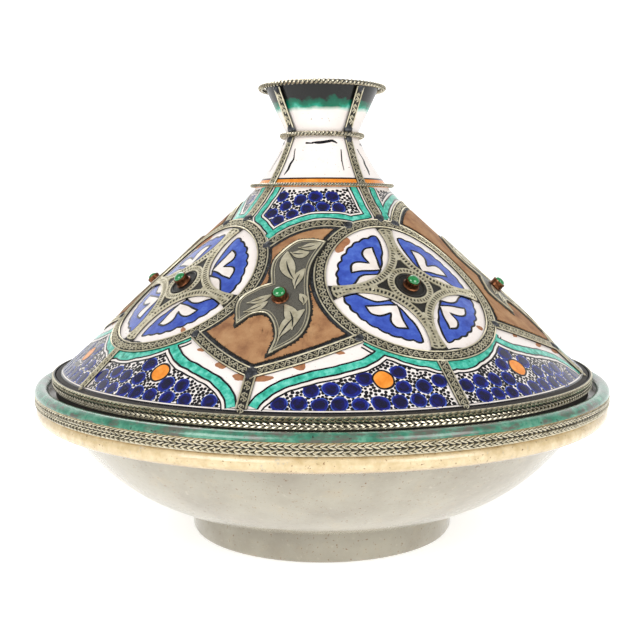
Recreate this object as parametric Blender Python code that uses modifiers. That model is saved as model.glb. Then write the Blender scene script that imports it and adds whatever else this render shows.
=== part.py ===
"""A tagine: a footed clay bowl and a conical clay lid, dressed in white metal, copper and leather.

The pot stands on z = 0 with its axis on Z, in metres. Azimuths are turned about Z from the front,
which is -Y, towards +X. The clay is turned. The metal and the leather are cut flat and then bent onto
the clay, as the maker does it: a chart says where each point of a flat sheet lands on the clay.
"""

from math import acos, asin, atan2, ceil, cos, hypot, pi, radians, sin

import bmesh
import bpy
from mathutils import Matrix, Vector

# Clay bowl
RIM_RADIUS = 0.165  # outside of the rim, the widest point of the pot
RIM_TOP_Z = 0.090
RIM_WIDTH = 0.0075  # the roll that stands round the lid
RIM_HEIGHT = 0.0212  # from the top of the roll to the underside of the flange
FLANGE_WIDTH = 0.0163  # the rim's overhang past the belly
LEDGE_DEPTH = 0.0065  # from the top of the roll down to the ledge that carries the lid
BOWL_WALL = 0.0080
BELLY_RISE = 0.0788  # centre of the belly's curve above the flange's underside
BELLY_INSET = 0.0120  # and inside the foot's radius
FOOT_RADIUS = 0.0770
FOOT_HEIGHT = 0.0178
FOOT_WIDTH = 0.0110
FOOT_RECESS = 0.0110  # hollow turned out under the foot

# Clay lid
LID_PLAY = 0.0020  # between the lid's braid and the roll
LID_EDGE_HEIGHT = 0.0120  # the upright edge behind the braid
LID_EDGE_WIDTH = 0.0080
LID_STEP = 0.0030  # from the edge in to the bottom of the cone
LID_SLOPE = radians(42.0)  # the cone's slope above the horizontal
LID_WALL = 0.0070
NECK_BEND = 0.134  # radius of the curve from the cone up to the waist
NECK_SLOPE = radians(66.5)
WAIST_RADIUS = 0.0207
NECK_PLUG = 0.0200  # solid clay below the waist, measured down the slope
KNOB_RADIUS = 0.0339
KNOB_HEIGHT = 0.0285
KNOB_WALL = 0.0050
KNOB_CUP_DEPTH = 0.0200

# White metal, copper, glass and leather
GAP = 0.0003  # between pieces that touch
FACET = 0.8 * GAP  # how far the flats of a round outline lie inside its circle
BED = 0.0005  # between the bent sheets and the clay, which is turned in flat facets
SHEET = 0.0006  # thickness of the metal
LEATHER = 0.0008
BAND_WIDTH = 0.0057
RING_WIDTH = 0.0064
NECK_STRAP_WIDTH = 0.0052
BRAID_HEIGHT = 0.0060
BRAID_THICKNESS = 0.0017
COLLAR_WIRE = 0.0011  # radii of the twisted wires
WAIST_WIRE = 0.0017
KNOB_WIRE = 0.0016
COLLAR_DROP = 0.0353  # from the waist down the slope to the collar ring
UPPER_FIELD = 0.0250  # painted field between the collar ring and the medallions
LOWER_FIELD = 0.0270  # painted field between the medallions and the lid's edge
STRAP_FOOT = 0.0010  # the lower straps stop this far above the bottom of the cone
STAR_ARM = 0.0100  # width of an arm's end
STAR_NECK = 0.0056  # and of an arm where it is narrowest
ARCH_RISE = 0.25  # of its span
VEE_SPRING = radians(65.0)  # where the vee meets the rings, below the horizontal
VEE_SAG = 0.0060
VEE_FOOT = 0.0220  # the vee's point above the bottom of the cone, up the slope
CUP_RADIUS = 0.0037
CUP_HEIGHT = 0.0040
CUP_WALL = 0.0005
STONE_SEAT = 0.0024  # depth of the glass in its cup
STONE_DOME = 0.0017  # its height above the cup

# Layout, set out by eye on a handmade lid: the front two medallions stand closer together
MEDALLIONS = 4
FIRST_MEDALLION = radians(28.5)
FRONT_SPACING = radians(80.0)
FIRST_STRAP = radians(42.0)  # the same two at the waist, where the straps are spread evenly
FRONT_STRAPS = radians(95.0)
FIRST_KNOB_STRAP = radians(40.0)
NECK_LEAN = radians(5.0)  # each neck strap meets its ring a little to the right of the top
FOOT_LEAN = radians(-2.7)  # and each lower strap stands a little to the left
STAR_LEAN = radians(-5.0)
ARCH_SPRINGS = [(40, 40), (40, 40), (40, 40), (16, 43)]  # degrees above the horizontal, left and right

# The engraved leaf, as (x, y, corner) in millimetres, drawn between rings of 50 mm radius
LEAF = [
    (15.9, 33.3, True),
    (7.8, 34.0, False),
    (0.2, 31.7, False),
    (-8.0, 20.0, False),
    (-9.0, 12.0, False),
    (-7.1, 1.9, True),
    (-13.5, -1.0, False),
    (-22.0, -9.0, False),
    (-19.8, -25.7, True),
    (-12.5, -19.0, False),
    (-5.0, -19.5, False),
    (1.0, -32.0, False),
    (-0.4, -44.9, True),
    (12.8, -32.6, False),
    (15.6, -18.0, False),
    (11.6, 1.2, False),
    (11.0, 16.0, False),
]
LEAF_RINGS = 50.0
LEAF_STUD = (-0.6, -8.3)

SEGMENTS = 36  # round the clay
BEND_STEP = 0.012  # between the lines along which a flat sheet is bent

FINISHES = {  # colour, metallic, roughness
    "glazed_clay": ((0.60, 0.56, 0.49), 0.0, 0.30),
    "painted_glaze": ((0.80, 0.74, 0.68), 0.0, 0.25),
    "white_metal": ((0.52, 0.48, 0.38), 1.0, 0.40),
    "leather": ((0.42, 0.24, 0.12), 0.0, 0.75),
    "copper": ((0.62, 0.30, 0.16), 1.0, 0.40),
    "green_glass": ((0.01, 0.35, 0.12), 0.0, 0.08),
}

# Sizes worked out from those above
FLANGE_Z = RIM_TOP_Z - RIM_HEIGHT
BELLY_Z = FLANGE_Z + BELLY_RISE
BELLY_DEPTH = BELLY_Z - FOOT_HEIGHT + 0.0009  # the belly is level just inside the foot's radius
BELLY_START = FOOT_RADIUS - BELLY_INSET
BELLY_REACH = (RIM_RADIUS - FLANGE_WIDTH - BELLY_START) / cos(asin(BELLY_RISE / BELLY_DEPTH))
LEDGE_Z = RIM_TOP_Z - LEDGE_DEPTH
RIM_INNER = RIM_RADIUS - RIM_WIDTH
BOWL_BRAID_TOP = RIM_TOP_Z - RIM_WIDTH / 2 - GAP
LID_SEAT_Z = LEDGE_Z + GAP
LID_BRAID_RADIUS = RIM_INNER - LID_PLAY
LID_EDGE_RADIUS = LID_BRAID_RADIUS - BRAID_THICKNESS - GAP
CONE_RADIUS = LID_EDGE_RADIUS - LID_STEP
CONE_Z = LID_SEAT_Z + LID_EDGE_HEIGHT
NECK_REACH = NECK_BEND * (sin(NECK_SLOPE) - sin(LID_SLOPE))
CONE_SLANT = (CONE_RADIUS - WAIST_RADIUS - NECK_REACH) / cos(LID_SLOPE)
LID_SLANT = CONE_SLANT + NECK_BEND * (NECK_SLOPE - LID_SLOPE)
COLLAR_SLANT = LID_SLANT - COLLAR_DROP
RING_RADIUS = (COLLAR_SLANT - UPPER_FIELD - LOWER_FIELD) / 2
RING_SLANT = LOWER_FIELD + RING_RADIUS  # the middle of the medallions
RING_REACH = CONE_RADIUS / cos(LID_SLOPE) - RING_SLANT  # from the cone's apex to that
ON_SHEET = BED + SHEET + GAP
ON_LEATHER = BED + LEATHER + GAP


def clear_scene():
    """Empties the scene, and makes the collection for the parts."""
    for obj in list(bpy.data.objects):
        bpy.data.objects.remove(obj)
    parts = bpy.data.collections.new("tagine")
    bpy.context.scene.collection.children.link(parts)
    return parts


def finish_material(name):
    made = bpy.data.materials.get(name)
    if made is None:
        colour, metallic, roughness = FINISHES[name]
        made = bpy.data.materials.new(name)
        made.use_nodes = True
        shader = made.node_tree.nodes["Principled BSDF"]
        shader.inputs["Base Color"].default_value = (*colour, 1)
        shader.inputs["Metallic"].default_value = metallic
        shader.inputs["Roughness"].default_value = roughness
    return made


def add_part(parts, name, mesh, finish):
    """Links a mesh to the parts as an object of its own."""
    mesh.shade_smooth()
    mesh.set_sharp_from_angle(angle=radians(35))
    mesh.materials.clear()
    mesh.materials.append(finish_material(finish))
    obj = bpy.data.objects.new(name, mesh)
    parts.objects.link(obj)
    return obj


# Turned shapes


def arc(centre, radii, start, end, steps):
    """Points (r, z) along an ellipse, with both ends."""
    turns = [start + (end - start) * i / steps for i in range(steps + 1)]
    return [(centre[0] + radii[0] * cos(a), centre[1] + radii[1] * sin(a)) for a in turns]


def turned(parts, name, profile, finish, closed=False, segments=SEGMENTS):
    """Turns a profile (r, z) about Z. The profile runs down the outer side of the piece."""
    count = len(profile)
    edges = [(i, i + 1) for i in range(count - 1)]
    if closed:
        edges.append((count - 1, 0))
    mesh = bpy.data.meshes.new(name)
    mesh.from_pydata([(r, 0, z) for r, z in profile], edges, [])
    obj = add_part(parts, name, mesh, finish)
    screw = obj.modifiers.new("turn", "SCREW")
    screw.steps = segments
    screw.render_steps = segments
    screw.use_merge_vertices = True
    screw.merge_threshold = 0.00001
    return obj


def lid_surface(slant):
    """(r, z, slope) of the lid's outside, that far up its slope from the bottom of the cone."""
    if slant <= CONE_SLANT:
        return CONE_RADIUS - slant * cos(LID_SLOPE), CONE_Z + slant * sin(LID_SLOPE), LID_SLOPE
    slope = LID_SLOPE + (slant - CONE_SLANT) / NECK_BEND
    r, z, _ = lid_surface(CONE_SLANT)
    r -= NECK_BEND * (sin(slope) - sin(LID_SLOPE))
    z += NECK_BEND * (cos(LID_SLOPE) - cos(slope))
    return r, z, slope


WAIST_Z = lid_surface(LID_SLANT)[1]
KNOB_TOP_Z = WAIST_Z + KNOB_HEIGHT
KNOB_FLARE = KNOB_RADIUS - WAIST_RADIUS
KNOB_SLANT = hypot(KNOB_FLARE, KNOB_HEIGHT)
KNOB_SLOPE = acos(-KNOB_FLARE / KNOB_SLANT)  # past upright, as the knob opens upwards


def knob_surface(slant):
    """The same for the knob's outside, up from the waist."""
    return WAIST_RADIUS - slant * cos(KNOB_SLOPE), WAIST_Z + slant * sin(KNOB_SLOPE), KNOB_SLOPE


def beside(surface, slant, height):
    """(r, z) at that height off a surface, along its normal."""
    r, z, slope = surface(slant)
    return r + height * sin(slope), z + height * cos(slope)


def make_bowl(parts):
    """Footed bowl with a flanged rim. A ledge inside the rim carries the lid."""
    braid_seat = RIM_RADIUS - BRAID_THICKNESS - GAP
    braid_bottom = BOWL_BRAID_TOP - BRAID_HEIGHT - GAP
    foot_inner = FOOT_RADIUS - FOOT_WIDTH
    centre = (BELLY_START, BELLY_Z)
    inside = (BELLY_REACH - BOWL_WALL, BELLY_DEPTH - BOWL_WALL)
    ledge_turn = -asin((BELLY_Z - LEDGE_Z) / inside[1])
    profile = [
        (0, BELLY_Z - inside[1]),
        *arc(centre, inside, -pi / 2, ledge_turn, 7),
        (RIM_INNER, LEDGE_Z),
        *arc((RIM_RADIUS - RIM_WIDTH / 2, BOWL_BRAID_TOP + GAP), (RIM_WIDTH / 2,) * 2, pi, 0, 6),
        (braid_seat, BOWL_BRAID_TOP + GAP),
        (braid_seat, braid_bottom),
        (RIM_RADIUS - 0.0008, braid_bottom),
        (RIM_RADIUS - 0.0049, FLANGE_Z + 0.0059),
        (RIM_RADIUS - 0.0085, FLANGE_Z + 0.0022),
        (RIM_RADIUS - 0.0133, FLANGE_Z + 0.0002),
        *arc(
            centre,
            (BELLY_REACH, BELLY_DEPTH),
            -asin(BELLY_RISE / BELLY_DEPTH),
            -acos(BELLY_INSET / BELLY_REACH),
            8,
        ),
        (FOOT_RADIUS, 0.0015),
        (FOOT_RADIUS - 0.0015, 0),
        (foot_inner, 0),
        (foot_inner - 0.0030, FOOT_RECESS),
        (0, FOOT_RECESS),
    ]
    turned(parts, "bowl", profile, "glazed_clay")


def make_lid(parts):
    """Hollow conical lid with an upright edge, a slender neck and an open cup for a knob."""
    floor_z = KNOB_TOP_Z - KNOB_CUP_DEPTH
    floor_r = KNOB_RADIUS - KNOB_WALL - KNOB_CUP_DEPTH / KNOB_HEIGHT * KNOB_FLARE
    hollow_top = LID_SLANT - NECK_PLUG
    outer_slants = [LID_SLANT + (CONE_SLANT - LID_SLANT) * i / 5 for i in range(6)]
    inner_slants = [CONE_SLANT + (hollow_top - CONE_SLANT) * i / 3 for i in range(4)]
    hollow_r, hollow_z = beside(lid_surface, hollow_top, -LID_WALL)
    profile = [
        (0, floor_z),
        (floor_r - 0.0030, floor_z),
        (floor_r, floor_z + 0.0020),
        (KNOB_RADIUS - KNOB_WALL, KNOB_TOP_Z - 0.0020),
        (KNOB_RADIUS - KNOB_WALL + 0.0015, KNOB_TOP_Z),
        (KNOB_RADIUS - 0.0010, KNOB_TOP_Z),
        *[beside(lid_surface, slant, 0) for slant in outer_slants],
        (CONE_RADIUS, CONE_Z),
        (LID_EDGE_RADIUS - 0.0005, CONE_Z - 0.0005),
        (LID_EDGE_RADIUS, CONE_Z - 0.0010),
        (LID_EDGE_RADIUS, LID_SEAT_Z + 0.0010),
        (LID_EDGE_RADIUS - 0.0010, LID_SEAT_Z),
        (LID_EDGE_RADIUS - LID_EDGE_WIDTH, LID_SEAT_Z),
        beside(lid_surface, 0, -LID_WALL),
        *[beside(lid_surface, slant, -LID_WALL) for slant in inner_slants],
        (hollow_r * 0.6, hollow_z + 0.0040),
        (0, hollow_z + 0.0050),
    ]
    turned(parts, "lid", profile, "painted_glaze")


def make_braid(parts, name, radius, top_z):
    """Braided band of that outer radius, with rounded outer edges."""
    inner = radius - BRAID_THICKNESS
    bottom_z = top_z - BRAID_HEIGHT
    profile = [
        (inner, top_z),
        (radius - 0.0006, top_z),
        (radius, top_z - 0.0008),
        (radius, bottom_z + 0.0008),
        (radius - 0.0006, bottom_z),
        (inner, bottom_z),
    ]
    turned(parts, name, profile, "white_metal", closed=True)


def make_wire_ring(parts, name, centre, wire):
    """Twisted wire ring. The centre (r, z) is the wire's."""
    profile = arc(centre, (wire, wire), pi, -pi, 6)[:-1]
    turned(parts, name, profile, "white_metal", closed=True)


# Sheets, cut flat and bent onto the clay


def cone_chart(azimuth):
    """Chart with its origin on the circle of the medallions' middles, and its y up the slope."""

    def place(x, y, height):
        reach = hypot(x, RING_REACH - y)
        turn = azimuth + atan2(x, RING_REACH - y) / cos(LID_SLOPE)
        r, z = beside(lid_surface, RING_SLANT + RING_REACH - reach, height)
        return Vector((r * sin(turn), -r * cos(turn), z))

    return place


def strap_chart(surface, azimuth_at):
    """Chart for a narrow strap up a surface: y is the distance up the slope."""

    def place(x, y, height):
        turn = azimuth_at(y) + x / surface(y)[0]
        r, z = beside(surface, y, height)
        return Vector((r * sin(turn), -r * cos(turn), z))

    return place


def evaluated_mesh(obj):
    bpy.context.view_layer.update()
    evaluated = obj.evaluated_get(bpy.context.evaluated_depsgraph_get())
    return bpy.data.meshes.new_from_object(evaluated)


def flat_sheet(outlines, thickness):
    """Flat solid from outlines. A point is (x, y), or (x, y, corner) on an outline that is rounded."""
    curve = bpy.data.curves.new("outline", "CURVE")
    curve.dimensions = "2D"
    curve.fill_mode = "BOTH"
    curve.extrude = thickness / 2
    curve.resolution_u = 3
    for outline in outlines:
        rounded = len(outline[0]) == 3
        spline = curve.splines.new("BEZIER" if rounded else "POLY")
        spline.use_cyclic_u = True
        points = spline.bezier_points if rounded else spline.points
        points.add(len(outline) - 1)
        for point, where in zip(points, outline):
            if rounded:
                point.co = (where[0], where[1], 0)
                point.handle_left_type = "VECTOR" if where[2] else "AUTO"
                point.handle_right_type = point.handle_left_type
            else:
                point.co = (where[0], where[1], 0, 1)
    obj = bpy.data.objects.new("outline", curve)
    bpy.context.scene.collection.objects.link(obj)
    mesh = evaluated_mesh(obj)
    bpy.data.objects.remove(obj)
    bm = bmesh.new()
    bm.from_mesh(mesh)
    bmesh.ops.remove_doubles(bm, verts=bm.verts, dist=0.000001)
    bm.to_mesh(mesh)
    bm.free()
    return mesh


def combined(mesh, others, operation):
    """Flat solid with other flat solids joined to it or cut from it."""
    base = bpy.data.objects.new("base", mesh)
    tools = [bpy.data.objects.new("tool", other) for other in others]
    for obj in [base, *tools]:
        bpy.context.scene.collection.objects.link(obj)
    for tool in tools:
        boolean = base.modifiers.new("combine", "BOOLEAN")
        boolean.operation = operation
        boolean.object = tool
    made = evaluated_mesh(base)
    for obj in [base, *tools]:
        bpy.data.objects.remove(obj)
    return made


def bent(mesh, place, lift, thickness):
    """Bends a flat solid onto the clay: cut along a grid of bending lines, each point is then placed."""
    bm = bmesh.new()
    bm.from_mesh(mesh)
    bmesh.ops.dissolve_limit(bm, angle_limit=0.001, verts=bm.verts, edges=bm.edges)
    for axis in (Vector((1, 0, 0)), Vector((0, 1, 0))):
        along = [vert.co.dot(axis) for vert in bm.verts]
        for line in range(ceil(min(along) / BEND_STEP), ceil(max(along) / BEND_STEP)):
            geometry = [*bm.verts, *bm.edges, *bm.faces]
            at = axis * line * BEND_STEP
            bmesh.ops.bisect_plane(bm, geom=geometry, dist=0.00001, plane_co=at, plane_no=axis)
    bmesh.ops.remove_doubles(bm, verts=bm.verts, dist=0.00002)
    bmesh.ops.triangulate(bm, faces=bm.faces)
    for vert in bm.verts:
        vert.co = place(vert.co.x, vert.co.y, lift + thickness / 2 + vert.co.z)
    bmesh.ops.recalc_face_normals(bm, faces=bm.faces)
    if bm.calc_volume(signed=True) < 0:
        bmesh.ops.reverse_faces(bm, faces=bm.faces)
    bm.to_mesh(mesh)
    bm.free()
    return mesh


def circle(centre, radius):
    steps = ceil(pi / acos(1 - FACET / radius))
    turns = [2 * pi * i / steps for i in range(steps)]
    return [(centre[0] + radius * cos(a), centre[1] + radius * sin(a)) for a in turns]


def band(path, width):
    """Outline of a band of that width along a path."""
    left, right = [], []
    for i, point in enumerate(path):
        ahead = path[min(i + 1, len(path) - 1)] - path[max(i - 1, 0)]
        side = Vector((-ahead.y, ahead.x)).normalized() * width / 2
        left.append(tuple(point + side))
        right.append(tuple(point - side))
    return left + right[::-1]


def drawn_to(start, pull, end, steps=6):
    """Curved path from start to end, drawn towards the pull."""
    shares = [i / steps for i in range(steps + 1)]
    return [(1 - t) ** 2 * start + 2 * t * (1 - t) * pull + t * t * end for t in shares]


def on_ray(turn, reach):
    """Chart point at that turn about the cone's apex, that far from the apex."""
    return Vector((reach * sin(turn), RING_REACH - reach * cos(turn)))


def medallion_azimuths():
    spacing = (2 * pi - FRONT_SPACING) / (MEDALLIONS - 1)
    return [FIRST_MEDALLION + spacing * i for i in range(MEDALLIONS)]


def make_medallion(parts, number, azimuth):
    """Ring, star and lower strap."""
    chart = cone_chart(azimuth)
    inner = RING_RADIUS - RING_WIDTH
    ring = flat_sheet([circle((0, 0), RING_RADIUS), circle((0, 0), inner)], SHEET)
    add_part(parts, f"medallion_ring_{number}", bent(ring, chart, BED, SHEET), "white_metal")

    star = flat_sheet([star_outline(inner - GAP)], SHEET)
    add_part(parts, f"medallion_star_{number}", bent(star, chart, BED, SHEET), "white_metal")

    strap = flat_sheet([band(foot_path(RING_REACH), BAND_WIDTH)], SHEET)
    strap = combined(strap, [flat_sheet([circle((0, 0), RING_RADIUS + GAP)], 3 * SHEET)], "DIFFERENCE")
    add_part(parts, f"medallion_foot_strap_{number}", bent(strap, chart, BED, SHEET), "white_metal")
    return chart


def foot_path(reach):
    """Path of a lower strap, down from that far from the apex to the bottom of the cone."""
    turn = FOOT_LEAN * cos(LID_SLOPE)
    return [on_ray(turn, reach), on_ray(turn, RING_REACH + RING_SLANT - STRAP_FOOT)]


def star_outline(tip):
    """Four arms with hollow sides between them. An arm's end reaches the tip's distance."""
    half = STAR_ARM / 2
    end = (tip**2 - half**2) ** 0.5
    # The circle of a side is centred on the diagonal, touches the necks of two arms and passes their ends
    spread = half + end - STAR_NECK / 2
    centre_xy = spread - (spread**2 - tip**2 + (STAR_NECK / 2) ** 2) ** 0.5
    radius = centre_xy - STAR_NECK / 2
    first = atan2(end - centre_xy, half - centre_xy)
    last = atan2(half - centre_xy, end - centre_xy) + 2 * pi
    outline = []
    for arm in range(4):
        turn = STAR_LEAN - arm * pi / 2
        for i in range(7):
            a = first + (last - first) * i / 6
            point = Vector((centre_xy + radius * cos(a), centre_xy + radius * sin(a)))
            point.rotate(Matrix.Rotation(turn, 2))
            outline.append(tuple(point))
    return outline


def make_shield(parts, number, azimuth, spacing, springs):
    """Arch, vee with its lower strap, leather and leaf, between two neighbouring rings."""
    chart = cone_chart(azimuth)
    half = spacing / 2 * cos(LID_SLOPE)
    rings = [on_ray(-half, RING_REACH), on_ray(half, RING_REACH)]
    cutters = [flat_sheet([circle(ring, RING_RADIUS + GAP)], 0.004) for ring in rings]

    def from_ring(side, turn, reach=RING_RADIUS - 0.002):
        direction = Vector((-1 if side else 1, 0)) * cos(turn) + Vector((0, sin(turn)))
        return rings[side] + direction * reach

    left, right = from_ring(0, radians(springs[0])), from_ring(1, radians(springs[1]))
    across = right - left
    arch = drawn_to(left, (left + right) / 2 + Vector((-across.y, across.x)) * ARCH_RISE, right)
    arch_sheet = combined(flat_sheet([band(arch, BAND_WIDTH)], SHEET), cutters, "DIFFERENCE")
    add_part(parts, f"shield_arch_{number}", bent(arch_sheet, chart, BED, SHEET), "white_metal")

    point = on_ray(FOOT_LEAN * cos(LID_SLOPE), RING_REACH + RING_SLANT - VEE_FOOT)
    sides = []
    for side in range(2):
        spring = from_ring(side, -VEE_SPRING)
        pull = (spring + point) / 2 - Vector((0, VEE_SAG))
        sides.append(drawn_to(spring, pull, point))
    point_reach = (point - Vector((0, RING_REACH))).length
    bands = [band(sides[0], BAND_WIDTH), band(foot_path(point_reach), BAND_WIDTH)]
    vee = flat_sheet([band(sides[1], BAND_WIDTH)], SHEET)
    vee = combined(vee, [flat_sheet([outline], SHEET) for outline in bands], "UNION")
    vee = combined(vee, cutters, "DIFFERENCE")
    add_part(parts, f"shield_vee_{number}", bent(vee, chart, BED, SHEET), "white_metal")

    panel = flat_sheet([[tuple(p) for p in [*arch, *sides[1], *sides[0][::-1]]]], LEATHER)
    edges = [flat_sheet([band(path, BAND_WIDTH + 2 * GAP)], 0.004) for path in (arch, *sides)]
    panel = combined(panel, [*cutters, *edges], "DIFFERENCE")
    add_part(parts, f"shield_leather_{number}", bent(panel, chart, BED, LEATHER), "leather")

    scale = RING_RADIUS / LEAF_RINGS
    leaf = flat_sheet([[(x * scale, y * scale, corner) for x, y, corner in LEAF]], SHEET)
    add_part(parts, f"shield_leaf_{number}", bent(leaf, chart, ON_LEATHER, SHEET), "white_metal")
    stud = (LEAF_STUD[0] * scale, LEAF_STUD[1] * scale)
    return chart, stud


def make_stud(parts, number, chart, x, y, height):
    """Glass stone in a copper cup that stands on the metal."""
    foot = chart(x, y, height)
    upright = (chart(x, y, height + 0.001) - foot).to_track_quat("Z", "Y")
    standing = Matrix.Translation(foot) @ upright.to_matrix().to_4x4()
    inner = CUP_RADIUS - CUP_WALL
    floor = CUP_HEIGHT - STONE_SEAT - GAP
    cup = [
        (0, floor),
        (inner, floor),
        (inner, CUP_HEIGHT),
        (CUP_RADIUS, CUP_HEIGHT),
        (CUP_RADIUS, 0),
        (0, 0),
    ]
    turned(parts, f"stone_cup_{number}", cup, "copper", segments=10).matrix_world = standing
    radius = inner - GAP
    dome = arc((0, CUP_HEIGHT), (radius, STONE_DOME), pi / 2, 0, 3)
    stone = [(0, dome[0][1]), *dome[1:], (radius, floor + GAP), (0, floor + GAP)]
    turned(parts, f"glass_stone_{number}", stone, "green_glass", segments=10).matrix_world = standing


# Straps up the neck and the knob


def make_neck_strap(parts, number, ring_azimuth, waist_azimuth):
    """Strap from a ring up to the waist. It passes under the collar ring."""
    start = RING_SLANT + RING_RADIUS + GAP
    end = LID_SLANT - WAIST_WIRE - 3 * GAP
    sway = waist_azimuth - ring_azimuth

    def azimuth_at(slant):
        return ring_azimuth + sway * ((slant - start) / (LID_SLANT - start)) ** 2

    make_strap(parts, f"neck_strap_{number}", strap_chart(lid_surface, azimuth_at), start, end)


def make_strap(parts, name, chart, start, end):
    path = [Vector((0, start)), Vector((0, end))]
    strap = flat_sheet([band(path, NECK_STRAP_WIDTH)], SHEET)
    add_part(parts, name, bent(strap, chart, BED, SHEET), "white_metal")


def make_knob_strap(parts, number, azimuth):
    """Strap from the waist up to the knob's ring."""
    start = WAIST_WIRE + 3 * GAP
    end = KNOB_SLANT - 1.5 * KNOB_WIRE - 2 * GAP
    make_strap(parts, f"knob_strap_{number}", strap_chart(knob_surface, lambda slant: azimuth), start, end)


def main():
    parts = clear_scene()
    make_bowl(parts)
    make_lid(parts)
    make_braid(parts, "bowl_braid", RIM_RADIUS, BOWL_BRAID_TOP)
    make_braid(parts, "lid_braid", LID_BRAID_RADIUS, LID_SEAT_Z + LID_EDGE_HEIGHT - GAP)
    collar = beside(lid_surface, COLLAR_SLANT, ON_SHEET + COLLAR_WIRE)
    waist = (WAIST_RADIUS + (GAP + WAIST_WIRE) / min(sin(NECK_SLOPE), sin(KNOB_SLOPE)), WAIST_Z)
    knob_rim = beside(knob_surface, KNOB_SLANT - KNOB_WIRE / 2, GAP + KNOB_WIRE)
    make_wire_ring(parts, "collar_ring", collar, COLLAR_WIRE)
    make_wire_ring(parts, "waist_ring", waist, WAIST_WIRE)
    make_wire_ring(parts, "knob_rim_ring", knob_rim, KNOB_WIRE)

    azimuths = medallion_azimuths()
    spacings = [b - a for a, b in zip(azimuths, [*azimuths[1:], azimuths[0] + 2 * pi])]
    waist_step = (2 * pi - FRONT_STRAPS) / (MEDALLIONS - 1)
    for i, (azimuth, spacing) in enumerate(zip(azimuths, spacings)):
        number = i + 1
        chart = make_medallion(parts, number, azimuth)
        make_stud(parts, number, chart, 0, 0, ON_SHEET)
        middle = azimuth + spacing / 2
        chart, stud = make_shield(parts, number, middle, spacing, ARCH_SPRINGS[i])
        make_stud(parts, number + MEDALLIONS, chart, *stud, ON_LEATHER + SHEET + GAP)
        make_neck_strap(parts, number, azimuth + NECK_LEAN, FIRST_STRAP + waist_step * i)
        make_knob_strap(parts, number, FIRST_KNOB_STRAP + 2 * pi / MEDALLIONS * i)


main()
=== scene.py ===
"""Looks of a tagine: painted clay, white metalwork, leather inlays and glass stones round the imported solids.

Lengths are in millimetres, and become metres where a piece is placed. The painting and the metalwork are
drawn in the flat, on a chart with x to the right, y up the slope and z off the clay, and are then wrapped
round the lid. Azimuths are turned about Z from the front, -Y, towards +X.
"""

from math import acos, asin, atan2, ceil, cos, hypot, pi, radians, sin, sqrt

import bmesh
import bpy
import numpy as np
from mathutils import Matrix, Vector


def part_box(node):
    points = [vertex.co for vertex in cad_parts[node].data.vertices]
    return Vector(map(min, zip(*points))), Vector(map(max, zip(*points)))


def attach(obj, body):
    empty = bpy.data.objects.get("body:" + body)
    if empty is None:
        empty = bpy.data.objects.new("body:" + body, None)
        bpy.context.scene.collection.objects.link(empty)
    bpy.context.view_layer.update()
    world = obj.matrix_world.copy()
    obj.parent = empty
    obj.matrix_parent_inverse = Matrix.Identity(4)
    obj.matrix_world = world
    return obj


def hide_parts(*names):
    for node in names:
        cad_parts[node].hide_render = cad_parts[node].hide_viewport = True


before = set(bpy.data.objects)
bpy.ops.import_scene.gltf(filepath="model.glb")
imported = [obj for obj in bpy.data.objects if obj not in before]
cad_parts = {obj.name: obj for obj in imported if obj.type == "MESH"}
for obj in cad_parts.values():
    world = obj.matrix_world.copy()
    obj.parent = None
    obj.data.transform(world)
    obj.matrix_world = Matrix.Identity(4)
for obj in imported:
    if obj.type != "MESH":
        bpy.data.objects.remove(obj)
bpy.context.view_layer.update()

MM = 0.001


def corner(node):
    """Highest corner of a solid's box, in millimetres."""
    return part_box(node)[1] / MM


# Clay, from the solids' boxes and the sizes that they were turned to
RIM_RADIUS = corner("bowl").x
RIM_TOP_Z = corner("bowl").z
RIM_WIDTH = 7.5
RIM_HEIGHT = 21.2
FLANGE_WIDTH = 16.3
LEDGE_Z = RIM_TOP_Z - 6.5
BOWL_WALL = 8.0
BELLY_RISE = 78.8
BELLY_INSET = 12.0
FOOT_RADIUS = 77.0
FOOT_HEIGHT = 17.8
FOOT_WIDTH = 11.0
FOOT_RECESS = 11.0
LID_EDGE_RADIUS = corner("lid").x
LID_SEAT_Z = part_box("lid")[0].z / MM
LID_EDGE_WIDTH = 8.0
CONE_RADIUS = LID_EDGE_RADIUS - 3.0
CONE_Z = LID_SEAT_Z + 12.0
LID_SLOPE = radians(42.0)
LID_WALL = 7.0
NECK_BEND = 134.0
NECK_SLOPE = radians(66.5)
WAIST_RADIUS = 20.7
KNOB_RADIUS = 33.9
KNOB_WALL = 5.0
KNOB_CUP_DEPTH = 20.0
CONE_SLANT = (CONE_RADIUS - WAIST_RADIUS - NECK_BEND * (sin(NECK_SLOPE) - sin(LID_SLOPE))) / cos(LID_SLOPE)
LID_SLANT = CONE_SLANT + NECK_BEND * (NECK_SLOPE - LID_SLOPE)

# Metalwork and its layout
COLLAR_SLANT = LID_SLANT - 35.3
UPPER_FIELD = 25.0
LOWER_FIELD = 27.0
RING_RADIUS = (COLLAR_SLANT - UPPER_FIELD - LOWER_FIELD) / 2
RING_SLANT = LOWER_FIELD + RING_RADIUS
RING_REACH = CONE_RADIUS / cos(LID_SLOPE) - RING_SLANT
RING_WIDTH = 6.4
BAND_WIDTH = 5.7
STRAP_WIDTH = 5.2
MEDALLIONS = 4
FIRST_MEDALLION = radians(28.5)
FRONT_SPACING = radians(80.0)
FIRST_STRAP = radians(42.0)
FRONT_STRAPS = radians(95.0)
FIRST_KNOB_STRAP = radians(40.0)
NECK_LEAN = radians(5.0)
FOOT_LEAN = radians(-2.7)
STAR_LEAN = radians(-5.0)
STAR_WAIST = 16.0
STAR_ARM = 10.0
STAR_BAND = 4.6
ARCH_SPRINGS = [(40, 40), (40, 40), (40, 40), (16, 43)]
ARCH_RISE = 0.25
VEE_SPRING = radians(65.0)
VEE_SAG = 6.0
VEE_FOOT = 22.0
POT_MIDDLE = Vector((0, 0, 0.12))
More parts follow.
